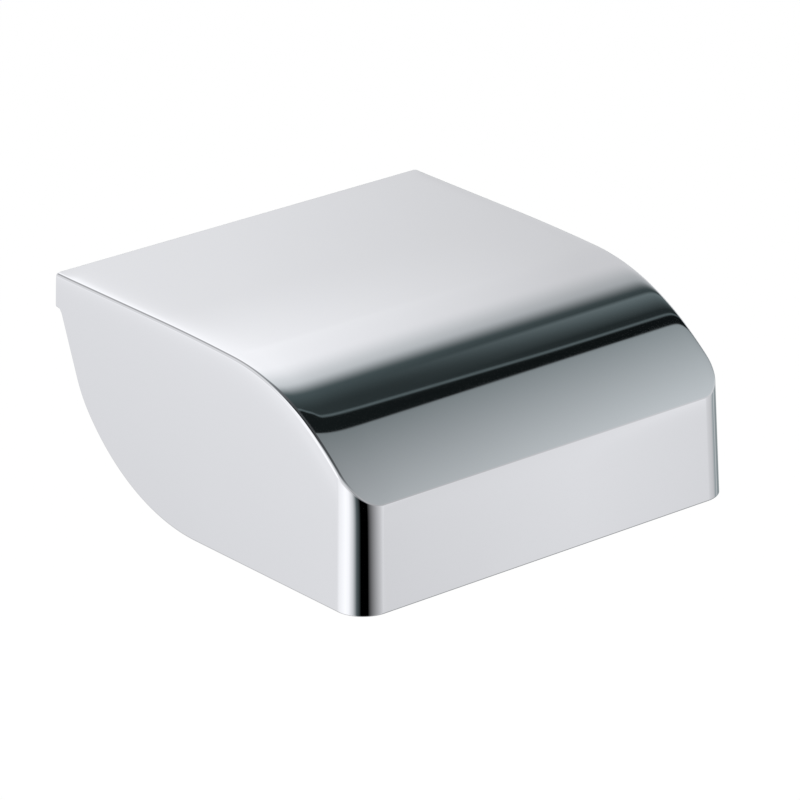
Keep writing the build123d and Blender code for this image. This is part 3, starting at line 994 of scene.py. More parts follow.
    def boss_sheets(self) -> list[Sheet]:
        """Shape the right hinge boss: a round barrel, filled out above to the roof and the lip.

        Returns:
            Its sheets.
        """
        (depth, drop), (ease, edge) = self.hinge, self.boss_eases
        low = arc_line(self.hinge, self.boss_r, 0, self.boss_arc, self.boss_steps)
        rear, top = self.lip_wall - self.boss_sink, self.inner.inset - self.boss_sink
        heel = [[rear, drop + self.boss_heel], [rear, top], [depth + self.boss_r, top]]
        line = np.concatenate([low, heel])
        hole = Hole(self.hinge, self.bush_r, self.bush_r)
        return Slab(line, ease, *self.boss_span, edge, (hole,), finish=1).sheets()

    def build(self) -> Object:
        """Build the hood as one piece.

        Returns:
            The hood.
        """
        outer, inner = self.rim(self.outer), self.rim(self.inner)
        foot, closing = self.foot_sheets(outer, inner)
        half = [
            self.edge_sheet(outer, 1),
            self.wall_sheet(outer, self.outer, foot, 1),
            self.edge_sheet(inner, -1),
            self.wall_sheet(inner, self.inner, inner.base, -1),
            *closing,
            *self.boss_sheets(),
        ]
        whole = [self.roof_sheet(outer, self.outer, 1), self.roof_sheet(inner, self.inner, -1)]
        whole += [part for sheet in half for part in (sheet, sheet.mirrored())]
        return make_piece("hood", whole)


@dataclass(frozen=True)
class Bracket:
    """The fixed part: a wall plate, two side arms screwed to it, and what they carry.

    The arms are mirror images, so each is worked out on the right. Eases are the rounding of a
    slab's outline and of its edges.

    Args:
        wall_screw: How far from the middle and how low the wall screws' holes lie.
        screw_gaps: How far the arm screws lie below the plate's back, and their play at shank and
            head.
        screw_key: Width, depth and rim of the key socket in their heads.
        seat_end: Depth at which the straight top of an arm ends.
        shoulder_reach: How far from that corner its rounding begins.
    """

    plate_back: float = -3.5
    plate_front: float = -0.5
    plate_half: float = 56.0
    plate_drops: Pair = (17.6, 42.0)
    plate_radii: Pair = (3.0, 11.0)
    wall_screw: Pair = (30.0, 30.0)
    wall_screw_r: float = 2.6
    arm_span: Pair = ARM_SPAN
    foot_span: Pair = (38.5, 55.0)
    foot_drops: Pair = (18.0, 31.0)
    foot_front: float = 3.5
    screw_x: Pair = (42.2, 50.8)
    screw_drop: float = 24.5
    screw_r: float = 2.0
    screw_head_r: float = 3.8
    screw_head_t: float = 1.8
    screw_end: float = 3.1
    screw_gaps: Triple = (0.15, 0.08, 0.2)
    screw_key: Triple = (2.5, 1.3, 1.7)
    screw_ease: float = 0.2
    screw_sides: int = 48
    hinge: Pair = HINGE_AXIS
    eye_r: float = 5.0
    pivot_r: float = 3.0
    neck_depth: float = 11.5
    neck_r: float = 1.2
    top_drop: float = 5.5
    seat_end: float = 36.0
    shoulder_reach: float = 4.3
    spindle: Pair = SPINDLE_AXIS
    end_r: float = 9.5
    socket_r: float = SOCKET_R
    buffer_depths: Pair = (24.0, 32.0)
    buffer_drops: Pair = (2.75, 9.5)
    buffer_side: float = 1.6
    plate_eases: Pair = (1.0, 0.25)
    web_eases: Pair = (0.3, 0.3)
    foot_eases: Pair = (1.2, 0.3)
    buffer_eases: Pair = (0.7, 0.5)
    eye_steps: int = 44
    end_steps: int = 30
    corner_steps: int = 14

    def tangent(self, start: Array, side: int) -> Array:
        """Find where a line from start touches the arm's round end.

        Seen from the end's centre, that is acos(r / reach) to the side of start.

        Args:
            start: Where the line starts.
            side: 1 or -1, for the side that it touches.

        Returns:
            The point of touch.
        """
        to_start = start - np.array(self.spindle)
        turn = side * math.acos(self.end_r / np.linalg.norm(to_start))
        c, s = math.cos(turn), math.sin(turn)
        return np.array(self.spindle) + unit(np.array([[c, -s], [s, c]]) @ to_start) * self.end_r

    def arm_outline(self) -> Array:
        """Walk round the arm: hinge eye, seat of the buffer, shoulder, round end, foot, neck.

        Returns:
            The points of its outline as (depth, drop).
        """
        depth, drop = self.hinge
        front = math.degrees(math.asin((self.top_drop - drop) / self.eye_r))
        below = math.degrees(math.acos((self.neck_depth - depth) / self.eye_r))
        eye = arc_line(self.hinge, self.eye_r, below, 360 + front, self.eye_steps)
        seat = np.array([self.seat_end, self.top_drop])
        heel = np.array([self.plate_front, self.foot_drops[1]])
        high, low = self.tangent(seat, 1), self.tangent(heel, -1)
        rays = (point - np.array(self.spindle) for point in (high, low))
        begin, end = (math.degrees(math.atan2(*ray[::-1])) for ray in rays)
        end += 360 * (end < begin)
        shoulder = bent(eye[-1], seat, high, self.shoulder_reach)
        neck = np.array([self.neck_depth, self.foot_drops[0]])
        toe = np.array([self.plate_front, self.foot_drops[0]])
        crook = bent(toe, neck, eye[0], self.neck_r)
        round_end = arc_line(self.spindle, self.end_r, begin, end, self.end_steps)
        return np.concatenate([eye, shoulder, round_end, [heel, toe], crook])

    def build_plate(self) -> Object:
        """Build the wall plate: a rounded rectangle, two wall holes and four countersunk ones.

        Returns:
            The plate.
        """
        (top, low), (r, big), (ease, edge) = self.plate_drops, self.plate_radii, self.plate_eases
        half = self.plate_half
        corners = [((half - r, top + r), r, -90), ((half - big, low - big), big, 0),
                   ((big - half, low - big), big, 90), ((r - half, top + r), r, 180)]
        line = np.concatenate([arc_line(at, radius, start, start + 90, self.corner_steps)
                               for at, radius, start in corners])
        x, drop = self.wall_screw
        holes = [Hole((side * x, drop), self.wall_screw_r, self.wall_screw_r) for side in (-1, 1)]
        holes += [Hole((side * x, self.screw_drop), self.screw_head_r, self.screw_r)
                  for side in (-1, 1) for x in self.screw_x]
        slab = Slab(line, ease, self.plate_back, self.plate_front, edge, tuple(holes), axes=ON_WALL)
        return make_piece("back_plate", slab.sheets())

    def build_arms(self) -> list[Object]:
        """Build the arms: a web with holes for hinge and socket, a foot with two screw holes.

        Returns:
            The left arm and the right arm.
        """
        (inner, outer), (top, low), (ease, edge) = self.foot_span, self.foot_drops, self.web_eases
        holes = (Hole(self.hinge, self.pivot_r, self.pivot_r),
                 Hole(self.spindle, self.socket_r, self.socket_r))
        web = Slab(self.arm_outline(), ease, *self.arm_span, edge, holes)
        line = np.array([[inner, top], [outer, top], [outer, low], [inner, low]])
        holes = tuple(Hole((x, self.screw_drop), self.screw_r, self.screw_r) for x in self.screw_x)
        ease, edge = self.foot_eases
        foot = Slab(line, ease, self.plate_front, self.foot_front, edge, holes, axes=ON_WALL)
        return make_pair("arm", web.sheets() + foot.sheets())

    def build_screws(self) -> Object:
        """Build the four countersunk screws that hold the arms, with key sockets in their heads.

        Returns:
            The screws, as one piece.
        """
        (sunk, play, head_play), (key, deep, rim) = self.screw_gaps, self.screw_key
        back, r, head = self.plate_back + sunk, self.screw_r - play, self.screw_head_r - head_play
        profile = [(back, rim), (back, head), (back + self.screw_head_t, r), (self.screw_end, r),
                   (self.screw_end, 0.0)]
        sheets: list[Sheet] = []
        for x in self.screw_x:
            axle = Axle((x, 0.0, self.screw_drop), (1, 0, 2), self.screw_sides)
            sheets.append(axle.turned(profile, self.screw_ease))
            sheets += axle.key_socket(back, back + deep, key, rim)
        sheets += [sheet.mirrored() for sheet in sheets]
        return make_piece("foot_screws", sheets)

    def build_buffers(self) -> list[Object]:
        """Build the rubber buffers: a channel pushed over each arm's top edge.

        Returns:
            The left buffer and the right buffer.
        """
        (a, b), (top, low), side = self.arm_span, self.buffer_drops, self.buffer_side
        ease, edge = self.buffer_eases
        line = np.array([[a - side, top], [b + side, top], [b + side, low], [b, low],
                         [b, self.top_drop], [a, self.top_drop], [a, low], [a - side, low]])
        slab = Slab(line, ease, *self.buffer_depths, edge, axes=ON_WALL)
        return make_pair("rest_pad", slab.sheets())


@dataclass(frozen=True)
class Hinge:
    """The two pivots of the hood: a shouldered screw, a washer and a flanged bush on each side."""

    axis: Pair = HINGE_AXIS
    arm_span: Pair = ARM_SPAN
    thread_r: float = 2.98
    journal_r: float = 2.5
    journal_end: float = 62.7
    head_r: float = 4.5
    head_t: float = 2.2
    key: float = 3.0
    key_depth: float = 1.5
    key_rim: float = 2.3
    screw_ease: float = 0.45
    washer_t: float = 0.8
    washer_gap: float = 0.1
    ring_ease: float = 0.2
    bush_r: float = BUSH_R
    bush_gap: float = 0.05
    bush_span: Pair = (57.7, 63.0)
    flange_r: float = 4.8
    flange_t: float = 0.8

    def axle(self) -> Axle:
        """Give the hinge's axis."""
        return Axle((0.0, *self.axis))

    def build_screws(self) -> list[Object]:
        """Build the screws: a head with a key socket, a thread in the arm and a plain journal.

        Returns:
            The left screw and the right screw.
        """
        axle, (inner, outer) = self.axle(), self.arm_span
        seat = inner - self.washer_t
        face, rim, end = seat - self.head_t, self.key_rim, self.journal_end
        head, thread, journal = self.head_r, self.thread_r, self.journal_r
        profile = [(face, rim), (face, head), (seat, head), (seat, thread), (outer, thread),
                   (outer, journal), (end, journal), (end, 0.0)]
        socket = axle.key_socket(face, face + self.key_depth, self.key, rim)
        return make_pair("hinge_screw", [axle.turned(profile, self.screw_ease), *socket])

    def build_washers(self) -> list[Object]:
        """Build the plain washers under the screws' heads.

        Returns:
            The left washer and the right washer.
        """
        outer, bore = self.arm_span[0], self.thread_r + self.washer_gap
        profile = tube((outer - self.washer_t, outer), (bore, self.head_r))
        return make_pair("hinge_washer", [self.axle().turned(profile, self.ring_ease, True)])

    def build_bushes(self) -> list[Object]:
        """Build the bushes: a sleeve in the hood's boss, with a flange against the arm.

        Returns:
            The left bush and the right bush.
        """
        (begin, end), bore = self.bush_span, self.journal_r + self.bush_gap
        lip, outer, wide = begin + self.flange_t, self.bush_r, self.flange_r
        profile = [(begin, bore), (end, bore), (end, outer), (lip, outer), (lip, wide),
                   (begin, wide)]
        return make_pair("pivot_bush", [self.axle().turned(profile, self.ring_ease, True)])


@dataclass(frozen=True)
class Spindle:
    """The sprung roll spindle: a wide tube, a narrow one that slides in it, a spring and ends.

    Args:
        shoulder: Radius and length of the narrow tube's shoulder.
        journal: Radius of a cap's journal, and where it ends.
        socket_flange: Radius of a socket's flange, and where its face lies.
        spring_span: Where the middle of the spring's wire begins and ends.
        wire_tip: Radius of the flat on the wire's ends, and how far back the wire is full, as
            shares of the wire's radius.
        stroke: How far the narrow tube slides in; not used.
    """

    axis: Pair = SPINDLE_AXIS
    sleeve_radii: Pair = (9.4, 11.0)
    sleeve_span: Pair = (-51.6, 8.4)
    plunger_radii: Pair = (7.5, 8.7)
    plunger_span: Pair = (-12.4, 51.6)
    shoulder: Pair = (9.35, 5.0)
    floor_t: float = 2.0
    collar_span: Pair = (5.4, 8.4)
    collar_bore: float = 8.75
    cap_face: float = 53.2
    cap_spigot: float = 5.0
    journal: Pair = (4.0, 57.2)
    socket_r: float = SOCKET_R
    socket_bore: float = 4.05
    socket_flange: Pair = (8.5, 53.5)
    socket_seat: float = 54.5
    socket_floor: float = 57.5
    socket_end: float = 58.5
    spring_span: Pair = (-46.0, -13.0)
    spring_r: float = 6.4
    wire_r: float = 0.55
    wire_tip: Pair = (0.8, 0.2)
    wire_sides: int = 16
    spring_turns: int = 8
    turn_steps: int = 48
    stroke: float = 8.0
    sides: int = 96
    sleeve_ease: float = 0.5
    plunger_ease: float = 0.4
    collar_ease: float = 0.2
    collar_sunk: float = 0.1
    cap_ease: float = 0.6
    socket_ease: float = 0.4

    def axle(self) -> Axle:
        """Give the spindle's axis."""
        return Axle((0.0, *self.axis), sides=self.sides)

    def build_sleeve(self) -> Object:
        """Build the wide tube, with an eased mouth."""
        profile = tube(self.sleeve_span, self.sleeve_radii)
        return make_piece("wide_tube", [self.axle().turned(profile, self.sleeve_ease, True)])

    def build_plunger(self) -> Object:
        """Build the narrow tube: a shoulder that keeps it in, and a floor for the spring.

        Returns:
            The tube.
        """
        (bore, outer), (begin, end) = self.plunger_radii, self.plunger_span
        (wide, length), floor = self.shoulder, begin + self.floor_t
        neck = begin + length
        profile = [(begin, 0.0), (begin, wide), (neck, wide), (neck, outer), (end, outer),
                   (end, bore), (floor, bore), (floor, 0.0)]
        return make_piece("narrow_tube", [self.axle().turned(profile, self.plunger_ease)])

    def build_collar(self) -> Object:
        """Build the guide ring pressed into the wide tube's mouth.

        Returns:
            The ring.
        """
        (begin, end), outer = self.collar_span, self.sleeve_radii[0]
        profile = tube((begin, end - self.collar_sunk), (self.collar_bore, outer))
        return make_piece("guide_ring", [self.axle().turned(profile, self.collar_ease, True)])

    def cap_profile(self, side: int, radii: Pair) -> list[Pair]:
        """Lay a cap's half section: a spigot in the tube, a rim on its end and a journal.

        Args:
            side: 1 for the right cap, -1 for the left one.
            radii: Bore and outer radius of its tube.

        Returns:
            Points of (along, radius).
        """
        (bore, rim), (r, tip), seat = radii, self.journal, self.plunger_span[1]
        heel, face = seat - self.cap_spigot, self.cap_face
        line = [(heel, 0.0), (heel, bore), (seat, bore), (seat, rim), (face, rim), (face, r),
                (tip, r), (tip, 0.0)]
        return [(side * along, radius) for along, radius in line]

    def build_caps(self) -> list[Object]:
        """Build the two end caps that turn in the sockets.

        Returns:
            The left cap and the right cap.
        """
        axle = self.axle()
        left = axle.turned(self.cap_profile(-1, self.sleeve_radii), self.cap_ease)
        right = axle.turned(self.cap_profile(1, self.plunger_radii), self.cap_ease)
        return [make_piece("end_cap_left", [left]), make_piece("end_cap_right", [right])]

    def build_sockets(self) -> list[Object]:
        """Build the cups in the arms that take the caps' journals.

        Returns:
            The left cup and the right cup.
        """
        (rim, face), seat, end = self.socket_flange, self.socket_seat, self.socket_end
        outer, bore, floor = self.socket_r, self.socket_bore, self.socket_floor
        profile = [(end, 0.0), (end, outer), (seat, outer), (seat, rim), (face, rim), (face, bore),
                   (floor, bore), (floor, 0.0)]
        return make_pair("arm_cup", [self.axle().turned(profile, self.socket_ease)])

    def build_spring(self) -> Object:
        """Coil the spring's wire.

        At angle t the wire's middle lies at x = begin + t pitch / 2 pi, and r sin t behind and
        r cos t below the axis.

        Returns:
            The spring.
        """
        (begin, end), (depth, drop) = self.spring_span, self.axis
        steps, full = self.turn_steps * self.spring_turns, 2 * np.pi * self.spring_turns
        tip, ease = self.wire_tip[0] * self.wire_r, self.wire_tip[1] * self.wire_r / self.spring_r
        turn = np.concatenate([[0.0, 0.0], np.linspace(ease, full - ease, steps), [full, full]])
        thick = np.concatenate([[0.0, tip], np.full(steps, self.wire_r), [tip, 0.0]])
        out = vectors(0.0, -np.sin(turn), np.cos(turn))
        x = begin + (end - begin) * turn / full
        middle = vectors(x, depth, drop) + self.spring_r * out
        rise = (end - begin) / full / self.spring_r
        along = unit(vectors(rise, -np.cos(turn), -np.sin(turn)))
        sides = self.wire_sides
        angle = (np.arange(sides + 1) % sides * (2 * np.pi / sides))[:, None]
        facing = np.cos(angle) * out[:, None] + np.sin(angle) * np.cross(along, out)[:, None]
        points = middle[:, None] + thick[:, None, None] * facing
        facing[:2], facing[-2:] = -along[:2, None], along[-2:, None]
        spring = make_piece("coil_spring", [grid(points, facing)])
        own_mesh(spring)
        return spring


def linear(code: str) -> Colour:
    """Turn an sRGB hex colour into linear light.

    Args:
        code: The colour, as # and six digits.

    Returns:
        Red, green, blue and 1.
    """
    parts = [int(code[i:i + 2], 16) / 255 for i in (1, 3, 5)]
    red, green, blue = (p / 12.92 if p <= 0.04045 else ((p + 0.055) / 1.055) ** 2.4 for p in parts)
    return red, green, blue, 1.0


def add(tree: NodeTree, kind: str, inputs: dict[str | int, Any] | None = None,
        **settings: Any) -> Node:
    """Add a node with its settings and links.

    Args:
        tree: The node tree.
        kind: The node's type name.
        inputs: Values, sockets or nodes for its inputs, by name or number. A node stands for the
            first of its outputs that is in use.
        **settings: Values for the node's own properties.

    Returns:
        The new node.
    """
    node = tree.nodes.new(kind)
    for key, value in settings.items():
        setattr(node, key, value)
    for key, value in (inputs or {}).items():
        if isinstance(value, Node):
            value = next(socket for socket in value.outputs if socket.enabled)
        if isinstance(value, NodeSocket):
            tree.links.new(value, node.inputs[key])
        else:
            node.inputs[key].default_value = value
    return node


def fullness(tree: NodeTree, bounds: Sequence[tuple[NodeSocket, float, float]], kind: str) -> Any:
    """Work out how full a soft edged light is: the product of a step on each of its bounds.

    Args:
        tree: The node tree.
        bounds: What each bound is read on, where the light is clear and where it is full.
        kind: How a step rises from 0 to 1.

    Returns:
        The share: a node, or 1 where there are no bounds.
    """
    share: Any = 1.0
    for value, clear, full in bounds:
        step = add(tree, "ShaderNodeMapRange", {
            "Value": value, "From Min": clear, "From Max": full}, interpolation_type=kind)
        share = add(tree, "ShaderNodeMath", {0: share, 1: step}, operation="MULTIPLY")
    return share


def blank(name: str) -> Material:
    """Make a material that has no nodes yet.

    Args:
        name: The material's name.

    Returns:
        The material.
    """
    material = bpy.data.materials.new(name)
    material.use_nodes = True
    material.node_tree.nodes.clear()
    return material


@dataclass(frozen=True)
class Finish:
    """A surface: its colours, its gloss and the grain that it was left with.

    Args:
        name: The material's name.
        light: The lighter of the two colours that patches fade between.
        dark: The darker one.
        metallic: 1 for a metal, 0 for the rest.
        gloss: Roughness between grains and on them.
        patch: Size of the patches in mm.
        grain: Size of the grain in mm along x, depth and height.
        relief: Height of the grain in mm.
        band: Which values of the grain's noise the gloss runs between.
        details: Octaves of the noise in patches and in grain.
    """

    name: str
    light: str
    dark: str
    metallic: float
    gloss: Pair
    patch: float
    grain: Triple
    relief: float
    band: Pair = (0.3, 0.7)
    details: Pair = (2.0, 3.0)

    def make(self) -> Material:
        """Build the material: a tint in patches, and a grain that sets gloss and relief.

        Returns:
            The material.
        """
        material = blank(self.name)
        tree = material.node_tree
        place = add(tree, "ShaderNodeTexCoord").outputs["Object"]
        patches = add(tree, "ShaderNodeTexNoise", {
            "Vector": place, "Scale": 1 / (self.patch * MM), "Detail": self.details[0]})
        tint = add(tree, "ShaderNodeMix", {
            "Factor": patches, MIX_A: linear(self.dark), MIX_B: linear(self.light)},
            data_type="RGBA")
        stretch = tuple(1 / (size * MM) for size in self.grain)
        spread = add(tree, "ShaderNodeMapping", {"Vector": place, "Scale": stretch})
        grains = add(tree, "ShaderNodeTexNoise", {
            "Vector": spread, "Scale": 1.0, "Detail": self.details[1]})
        rough = add(tree, "ShaderNodeMapRange", {
            "Value": grains, "From Min": self.band[0], "From Max": self.band[1],
            "To Min": self.gloss[0], "To Max": self.gloss[1]})
        bump = add(tree, "ShaderNodeBump", {
            "Height": grains, "Strength": 1.0, "Distance": self.relief * MM})
        shader = add(tree, "ShaderNodeBsdfPrincipled", {
            "Base Color": tint, "Metallic": self.metallic, "Roughness": rough, "Normal": bump})
        add(tree, "ShaderNodeOutputMaterial", {"Surface": shader})
        return material


# Bright decorative chrome, buffed before plating: a clean, faintly blue mirror, hardly hazed
POLISHED_CHROME = Finish("chrome_plating_polished", "#D4D5D9", "#D2D3D7", 1.0, (0.03, 0.045), 40.0,
                         (9.0, 0.8, 0.8), 0.0)
# Chrome over zinc left as cast on the hidden side: greyer and softer, with a fine skin
SATIN_CHROME = Finish("chrome_plating_as_cast", "#C6C9CC", "#BABEC2", 1.0, (0.17, 0.25), 18.0,
                      (1.4, 1.4, 1.4), 0.004)
# Stamped sheet steel, brushed along its length and zinc plated: fine lines, a soft long highlight
BRUSHED_ZINC = Finish("zinc_plated_steel_brushed", "#C3C6C9", "#AEB2B7", 1.0, (0.24, 0.4), 22.0,
                      (14.0, 0.35, 0.35), 0.006)
# Turned small steel parts, barrel plated with zinc: bright, a little blue, with tiny dulled patches
BARREL_ZINC = Finish("zinc_plated_steel_barrelled", "#C9CDD2", "#B3B9C1", 1.0, (0.16, 0.3), 2.5,
                     (0.5, 0.5, 0.5), 0.004)
# Acetal, injection moulded: dark grey, waxy and even, with a faint spark eroded skin
MOULDED_ACETAL = Finish("acetal_moulded", "#4A4C50", "#414347", 0.0, (0.36, 0.5), 9.0,
                        (0.3, 0.3, 0.3), 0.01)
# EPDM rubber, compression moulded: dull black with a dusty bloom in patches
MOULDED_RUBBER = Finish("epdm_rubber_moulded", "#2A2A2C", "#1C1C1E", 0.0, (0.68, 0.85), 5.0,
                        (0.4, 0.4, 0.4), 0.02)


@dataclass(frozen=True)
class Tone:
    """A stop in the studio's surroundings.

    Args:
        at: Where it lies along its scale.
        level: How bright it is, 1 for white paper.
        cool: How far it leans from neutral to a cold blue green.
    """

    at: float
    level: float
    cool: float = 0.0

    def colour(self) -> Colour:
        """Give its colour in linear light."""
        red, blue = 1 - COLD[0] * self.cool, 1 + COLD[1] * self.cool
        return self.level * red, self.level, self.level * blue, 1.0


Tones = tuple[Tone, ...]


def tones(*stops: tuple[float, ...]) -> Tones:
    """Make a scale's stops from rows of where, how bright and how cool."""
    return tuple(Tone(*stop) for stop in stops)


class Blend(Enum):
    """How a layer of light is laid over those before it."""

    MIX = "MIX"
    MULTIPLY = "MULTIPLY"
    LIGHTEN = "LIGHTEN"
    ADD = "ADD"


class Scale(Enum):
    """What light is graded and bounded by: parts of a direction from the part, and angles."""

    X = "to the right"
    Y = "to the wall"
    Z = "up"
    OFF = "to either side"
    UP = "degrees up from the wall"
    LAG = "degrees up, with what the gap lags behind beside its lowest place"
    PAST = "degrees up past the seam"
    TURN = "degrees round from straight ahead"


@dataclass(frozen=True)
class Graded:
    """Light that is graded along a scale.

    Args:
        scale: The scale.
        stops: Its stops, in order.
    """

    scale: Scale
    stops: Tones


@dataclass(frozen=True)
class Layer:
    """A soft edged layer of light.

    Args:
        blend: How it is laid over the layers before it.
        light: A colour in linear light, a graded light or a stack of layers.
        bounds: The scale of each bound, where the layer is clear and where it is full.
    """

    blend: Blend
    light: "Light"
    bounds: tuple[tuple[Scale, float, float], ...] = ()


Light = Triple | Graded | tuple[Layer, ...]


@dataclass(frozen=True)
class Studio:
    """A pale floor far below the wall height, soft light, and what the chrome mirrors.

    Seen from the part, the surroundings run up from the wall, overhead and down to the front: a
    white sweep behind, a dark gap overhead with a thin bright seam, and a grey ceiling in front.
    Beside and below all is white paper, and a small curved card, seen by mirrors alone, stands close
    to the hood's front left corner: it glows, though it is no lamp, and paints a reflected highlight
    and a dark stripe onto that corner.

    Args:
        floor_tints: Darkest and lightest colour of the floor's paper.
        floor_glow: How bright the floor is to the camera, and how far that hides its shading.
        lamps: Name, place, size in metres and power in watts of each lamp.
        room: How bright the room is to rough surfaces.
        middle: Where along x the dark gap begins lowest.
        reach: How far to the left of that the gap's edge still changes.
        skew: By how many degrees it begins later for each unit of x, on the left and on the right.
        seam_way: Hundreds of degrees up at which the seam lies, by x.
        overhead: The light overhead, layer by layer.
        round_about: The light round about and below.
        horizon: Heights between which the one gives way to the other.
        joint: The layer over both.
        card_axis: The upright axis of the card in mm.
        card_r: Its radius in mm.
        card_span: Heights of its foot and its top in mm.
        card_fade: Degrees at its sides and mm at its top over which it fades.
        card_reach: How near a mirror sees it whole, and how far one still sees it, in mm.
        reflection_card: The card by degrees from straight ahead.
    """

    floor_z: float = -1.5
    floor_size: float = 14.0
    floor_fibre: float = 1.5
    floor_tints: tuple[str, str] = ("#F6F6F6", "#FCFCFC")
    floor_glow: Pair = (1.1, 0.7)
    lamps: tuple[tuple[str, Triple, float, float], ...] = (
        ("key", (-0.9, -1.1, 1.5), 1.0, 9.0), ("fill", (1.3, -0.8, 0.9), 1.2, 5.0))
    sensor: float = 36.0
    lens: float = 254.66
    distance: float = 1.5951
    azimuth: float = -40.06
    elevation: float = 22.33
    aim: Triple = (0.00324, -0.07166, -0.0058)
    room: float = 0.8
    middle: float = 0.594
    reach: float = -0.06
    skew: Pair = (14.0, -24.0)
    seam_way: Tones = tones(
        (-1, 0.83), (0.5, 0.832), (0.545, 0.853), (0.56, 0.879), (0.585, 0.886), (0.62, 0.915),
        (1, 0.9))
    overhead: tuple[Layer, ...] = (
        # The white sweep behind, which falls off into the dark gap in three soft steps
        Layer(Blend.MIX, (1.0, 1.0, 1.0)),
        Layer(Blend.MIX, (0.59, 0.62, 0.625), ((Scale.LAG, 50, 69),)),
        Layer(Blend.MIX, (0.07, 0.095, 0.098), ((Scale.LAG, 64.5, 73.5),)),
        Layer(Blend.MIX, (0.027, 0.037, 0.038), ((Scale.LAG, 71, 84),)),
        # How bright both are from side to side, low over the wall and higher up
        Layer(Blend.MULTIPLY, (
            Layer(Blend.MIX, Graded(Scale.X, tones(
                (-1, 1.05), (-0.4, 1.0), (-0.1, 0.9), (0.3, 0.9), (0.4, 1.5), (0.48, 1.5),
                (0.53, 1.13), (0.58, 1.05), (0.62, 0.89), (1, 0.9)))),
            Layer(Blend.MIX, Graded(Scale.X, tones(
                (-1, 1.15), (-0.45, 1.0), (-0.3, 0.55), (0.03, 0.55), (0.15, 1.2), (0.25, 1.5),
                (0.42, 1.5), (0.54, 1.33), (0.575, 1.32), (0.625, 0.87), (1, 0.87))), (
                    (Scale.UP, 25.5, 35.0),)))),
        # The gap's darker side, past the seam
        Layer(Blend.MULTIPLY, (0.27, 0.27, 0.27), ((Scale.PAST, -0.3, 1.1),)),
        # The seam itself
        Layer(Blend.ADD, Graded(Scale.PAST, tones(
            (-1.1, 0.0), (0, 0.15, 0.8), (1.1, 0.0)))),
        # The ceiling in front, and how bright it is from side to side
        Layer(Blend.LIGHTEN, (
            Layer(Blend.MIX, Graded(Scale.UP, tones(
                (96.9, 0.0), (97.5, 0.34, 0.45), (127, 0.73, 0.2), (140, 0.74), (180, 0.72)))),
            Layer(Blend.MULTIPLY, Graded(Scale.X, tones(
                (-1, 1.0), (-0.5, 0.95), (0.4, 0.75), (0.585, 0.87), (0.635, 1.2), (1, 1.2)))))),
        # A lighter band in the gap, on the right
        Layer(Blend.ADD, Graded(Scale.UP, tones(
            (75.5, 0.0), (77.5, 0.16, 0.7), (81, 0.11, 0.8), (88, 0.0))), (
                (Scale.X, 0.59, 0.635),)),
        # Haze in the gap, over the middle and the left
        Layer(Blend.LIGHTEN, (0.3, 0.31, 0.32), ((Scale.X, 0.48, 0.38), (Scale.X, -0.5, -0.35))),
        # The dark right overhead, with a paler strip in its middle
        Layer(Blend.MIX, (
            Layer(Blend.MIX, (0.035, 0.039, 0.04)),
            Layer(Blend.MIX, (0.17, 0.18, 0.185), ((Scale.OFF, 0.12, 0.06),))), (
                (Scale.Z, 0.7, 0.97), (Scale.Y, 0.45, 0.05), (Scale.X, 0.48, 0.3),
                (Scale.X, -0.6, -0.45))),
        # A shaded ceiling, white paper and a lamp on the left
        Layer(Blend.MULTIPLY, (0.52, 0.54, 0.55), (
            (Scale.UP, 130, 148), (Scale.X, -0.1, -0.35), (Scale.X, -0.8, -0.68))),
        Layer(Blend.MIX, (0.95, 0.95, 0.95), ((Scale.X, -0.62, -0.74),)),
        Layer(Blend.MIX, (1.5, 1.5, 1.5), (
            (Scale.X, -0.62, -0.72), (Scale.Y, 0.6, 0.35), (Scale.Y, 0.06, 0.18))),
        # White paper on the right
        Layer(Blend.MIX, (1.0, 1.0, 1.0), ((Scale.X, 0.72, 0.84), (Scale.Y, 0.1, 0.22))),
    )
    round_about: tuple[Layer, ...] = (
        # White paper beside and below, and how bright it is by height
        Layer(Blend.MIX, Graded(Scale.TURN, tones(
            (-180, 0.95), (-143, 0.95), (-138, 1.08), (-130, 1.0), (-115, 0.92), (-40, 0.8),
            (5, 0.83), (18, 0.95), (36, 0.93), (38, 0.87), (41, 1.0), (42.5, 0.9), (48, 0.83),
            (67, 0.71), (81, 0.42, 0.5), (85, 0.44, 0.5), (89, 0.8), (93, 0.42, 0.5), (111, 0.3, 0.5),
            (125, 0.9), (180, 1.0)))),
        Layer(Blend.MULTIPLY, Graded(Scale.Z, tones(
            (-1, 0.5), (-0.6, 0.75), (-0.37, 1.02), (-0.33, 1.1), (-0.2, 1.17), (0, 1.2)))),
        # A lamp low on the left
        Layer(Blend.ADD, (0.5, 0.5, 0.5), (
            (Scale.Z, -0.335, -0.16), (Scale.TURN, -141, -124), (Scale.TURN, -106, -118))),
    )
    horizon: Pair = (-0.06, 0.06)
    # The dark gap between wall and floor on the right
    joint: Layer = Layer(Blend.MIX, (0.2, 0.23, 0.24), (
        (Scale.Z, -0.06, 0.0), (Scale.Z, 0.16, 0.08), (Scale.X, 0.4, 0.55), (Scale.Y, 0.2, 0.4)))
    # A card seen by mirrors alone, painting a highlight and a dark stripe onto the front left corner
    card_axis: Pair = (-58.9, -130.1)
    card_r: float = 25.0
    card_span: Pair = (-58.0, 8.0)
    card_fade: Pair = (10.0, 6.0)
    card_reach: Pair = (45.0, 60.0)
    card_steps: int = 64
    # Painted reflection: the card's glow by angle, bright for a highlight, black for a dark stripe
    reflection_card: Tones = tones(
        (-124, 1.1), (-118, 1.25), (-90, 1.5), (-80, 1.4), (-68, 0.9, 0.1), (-57, 0.15, 0.8),
        (-46, 0.0, 1.0), (-26, 0.0, 1.0), (18, 0.95), (26, 1.05))

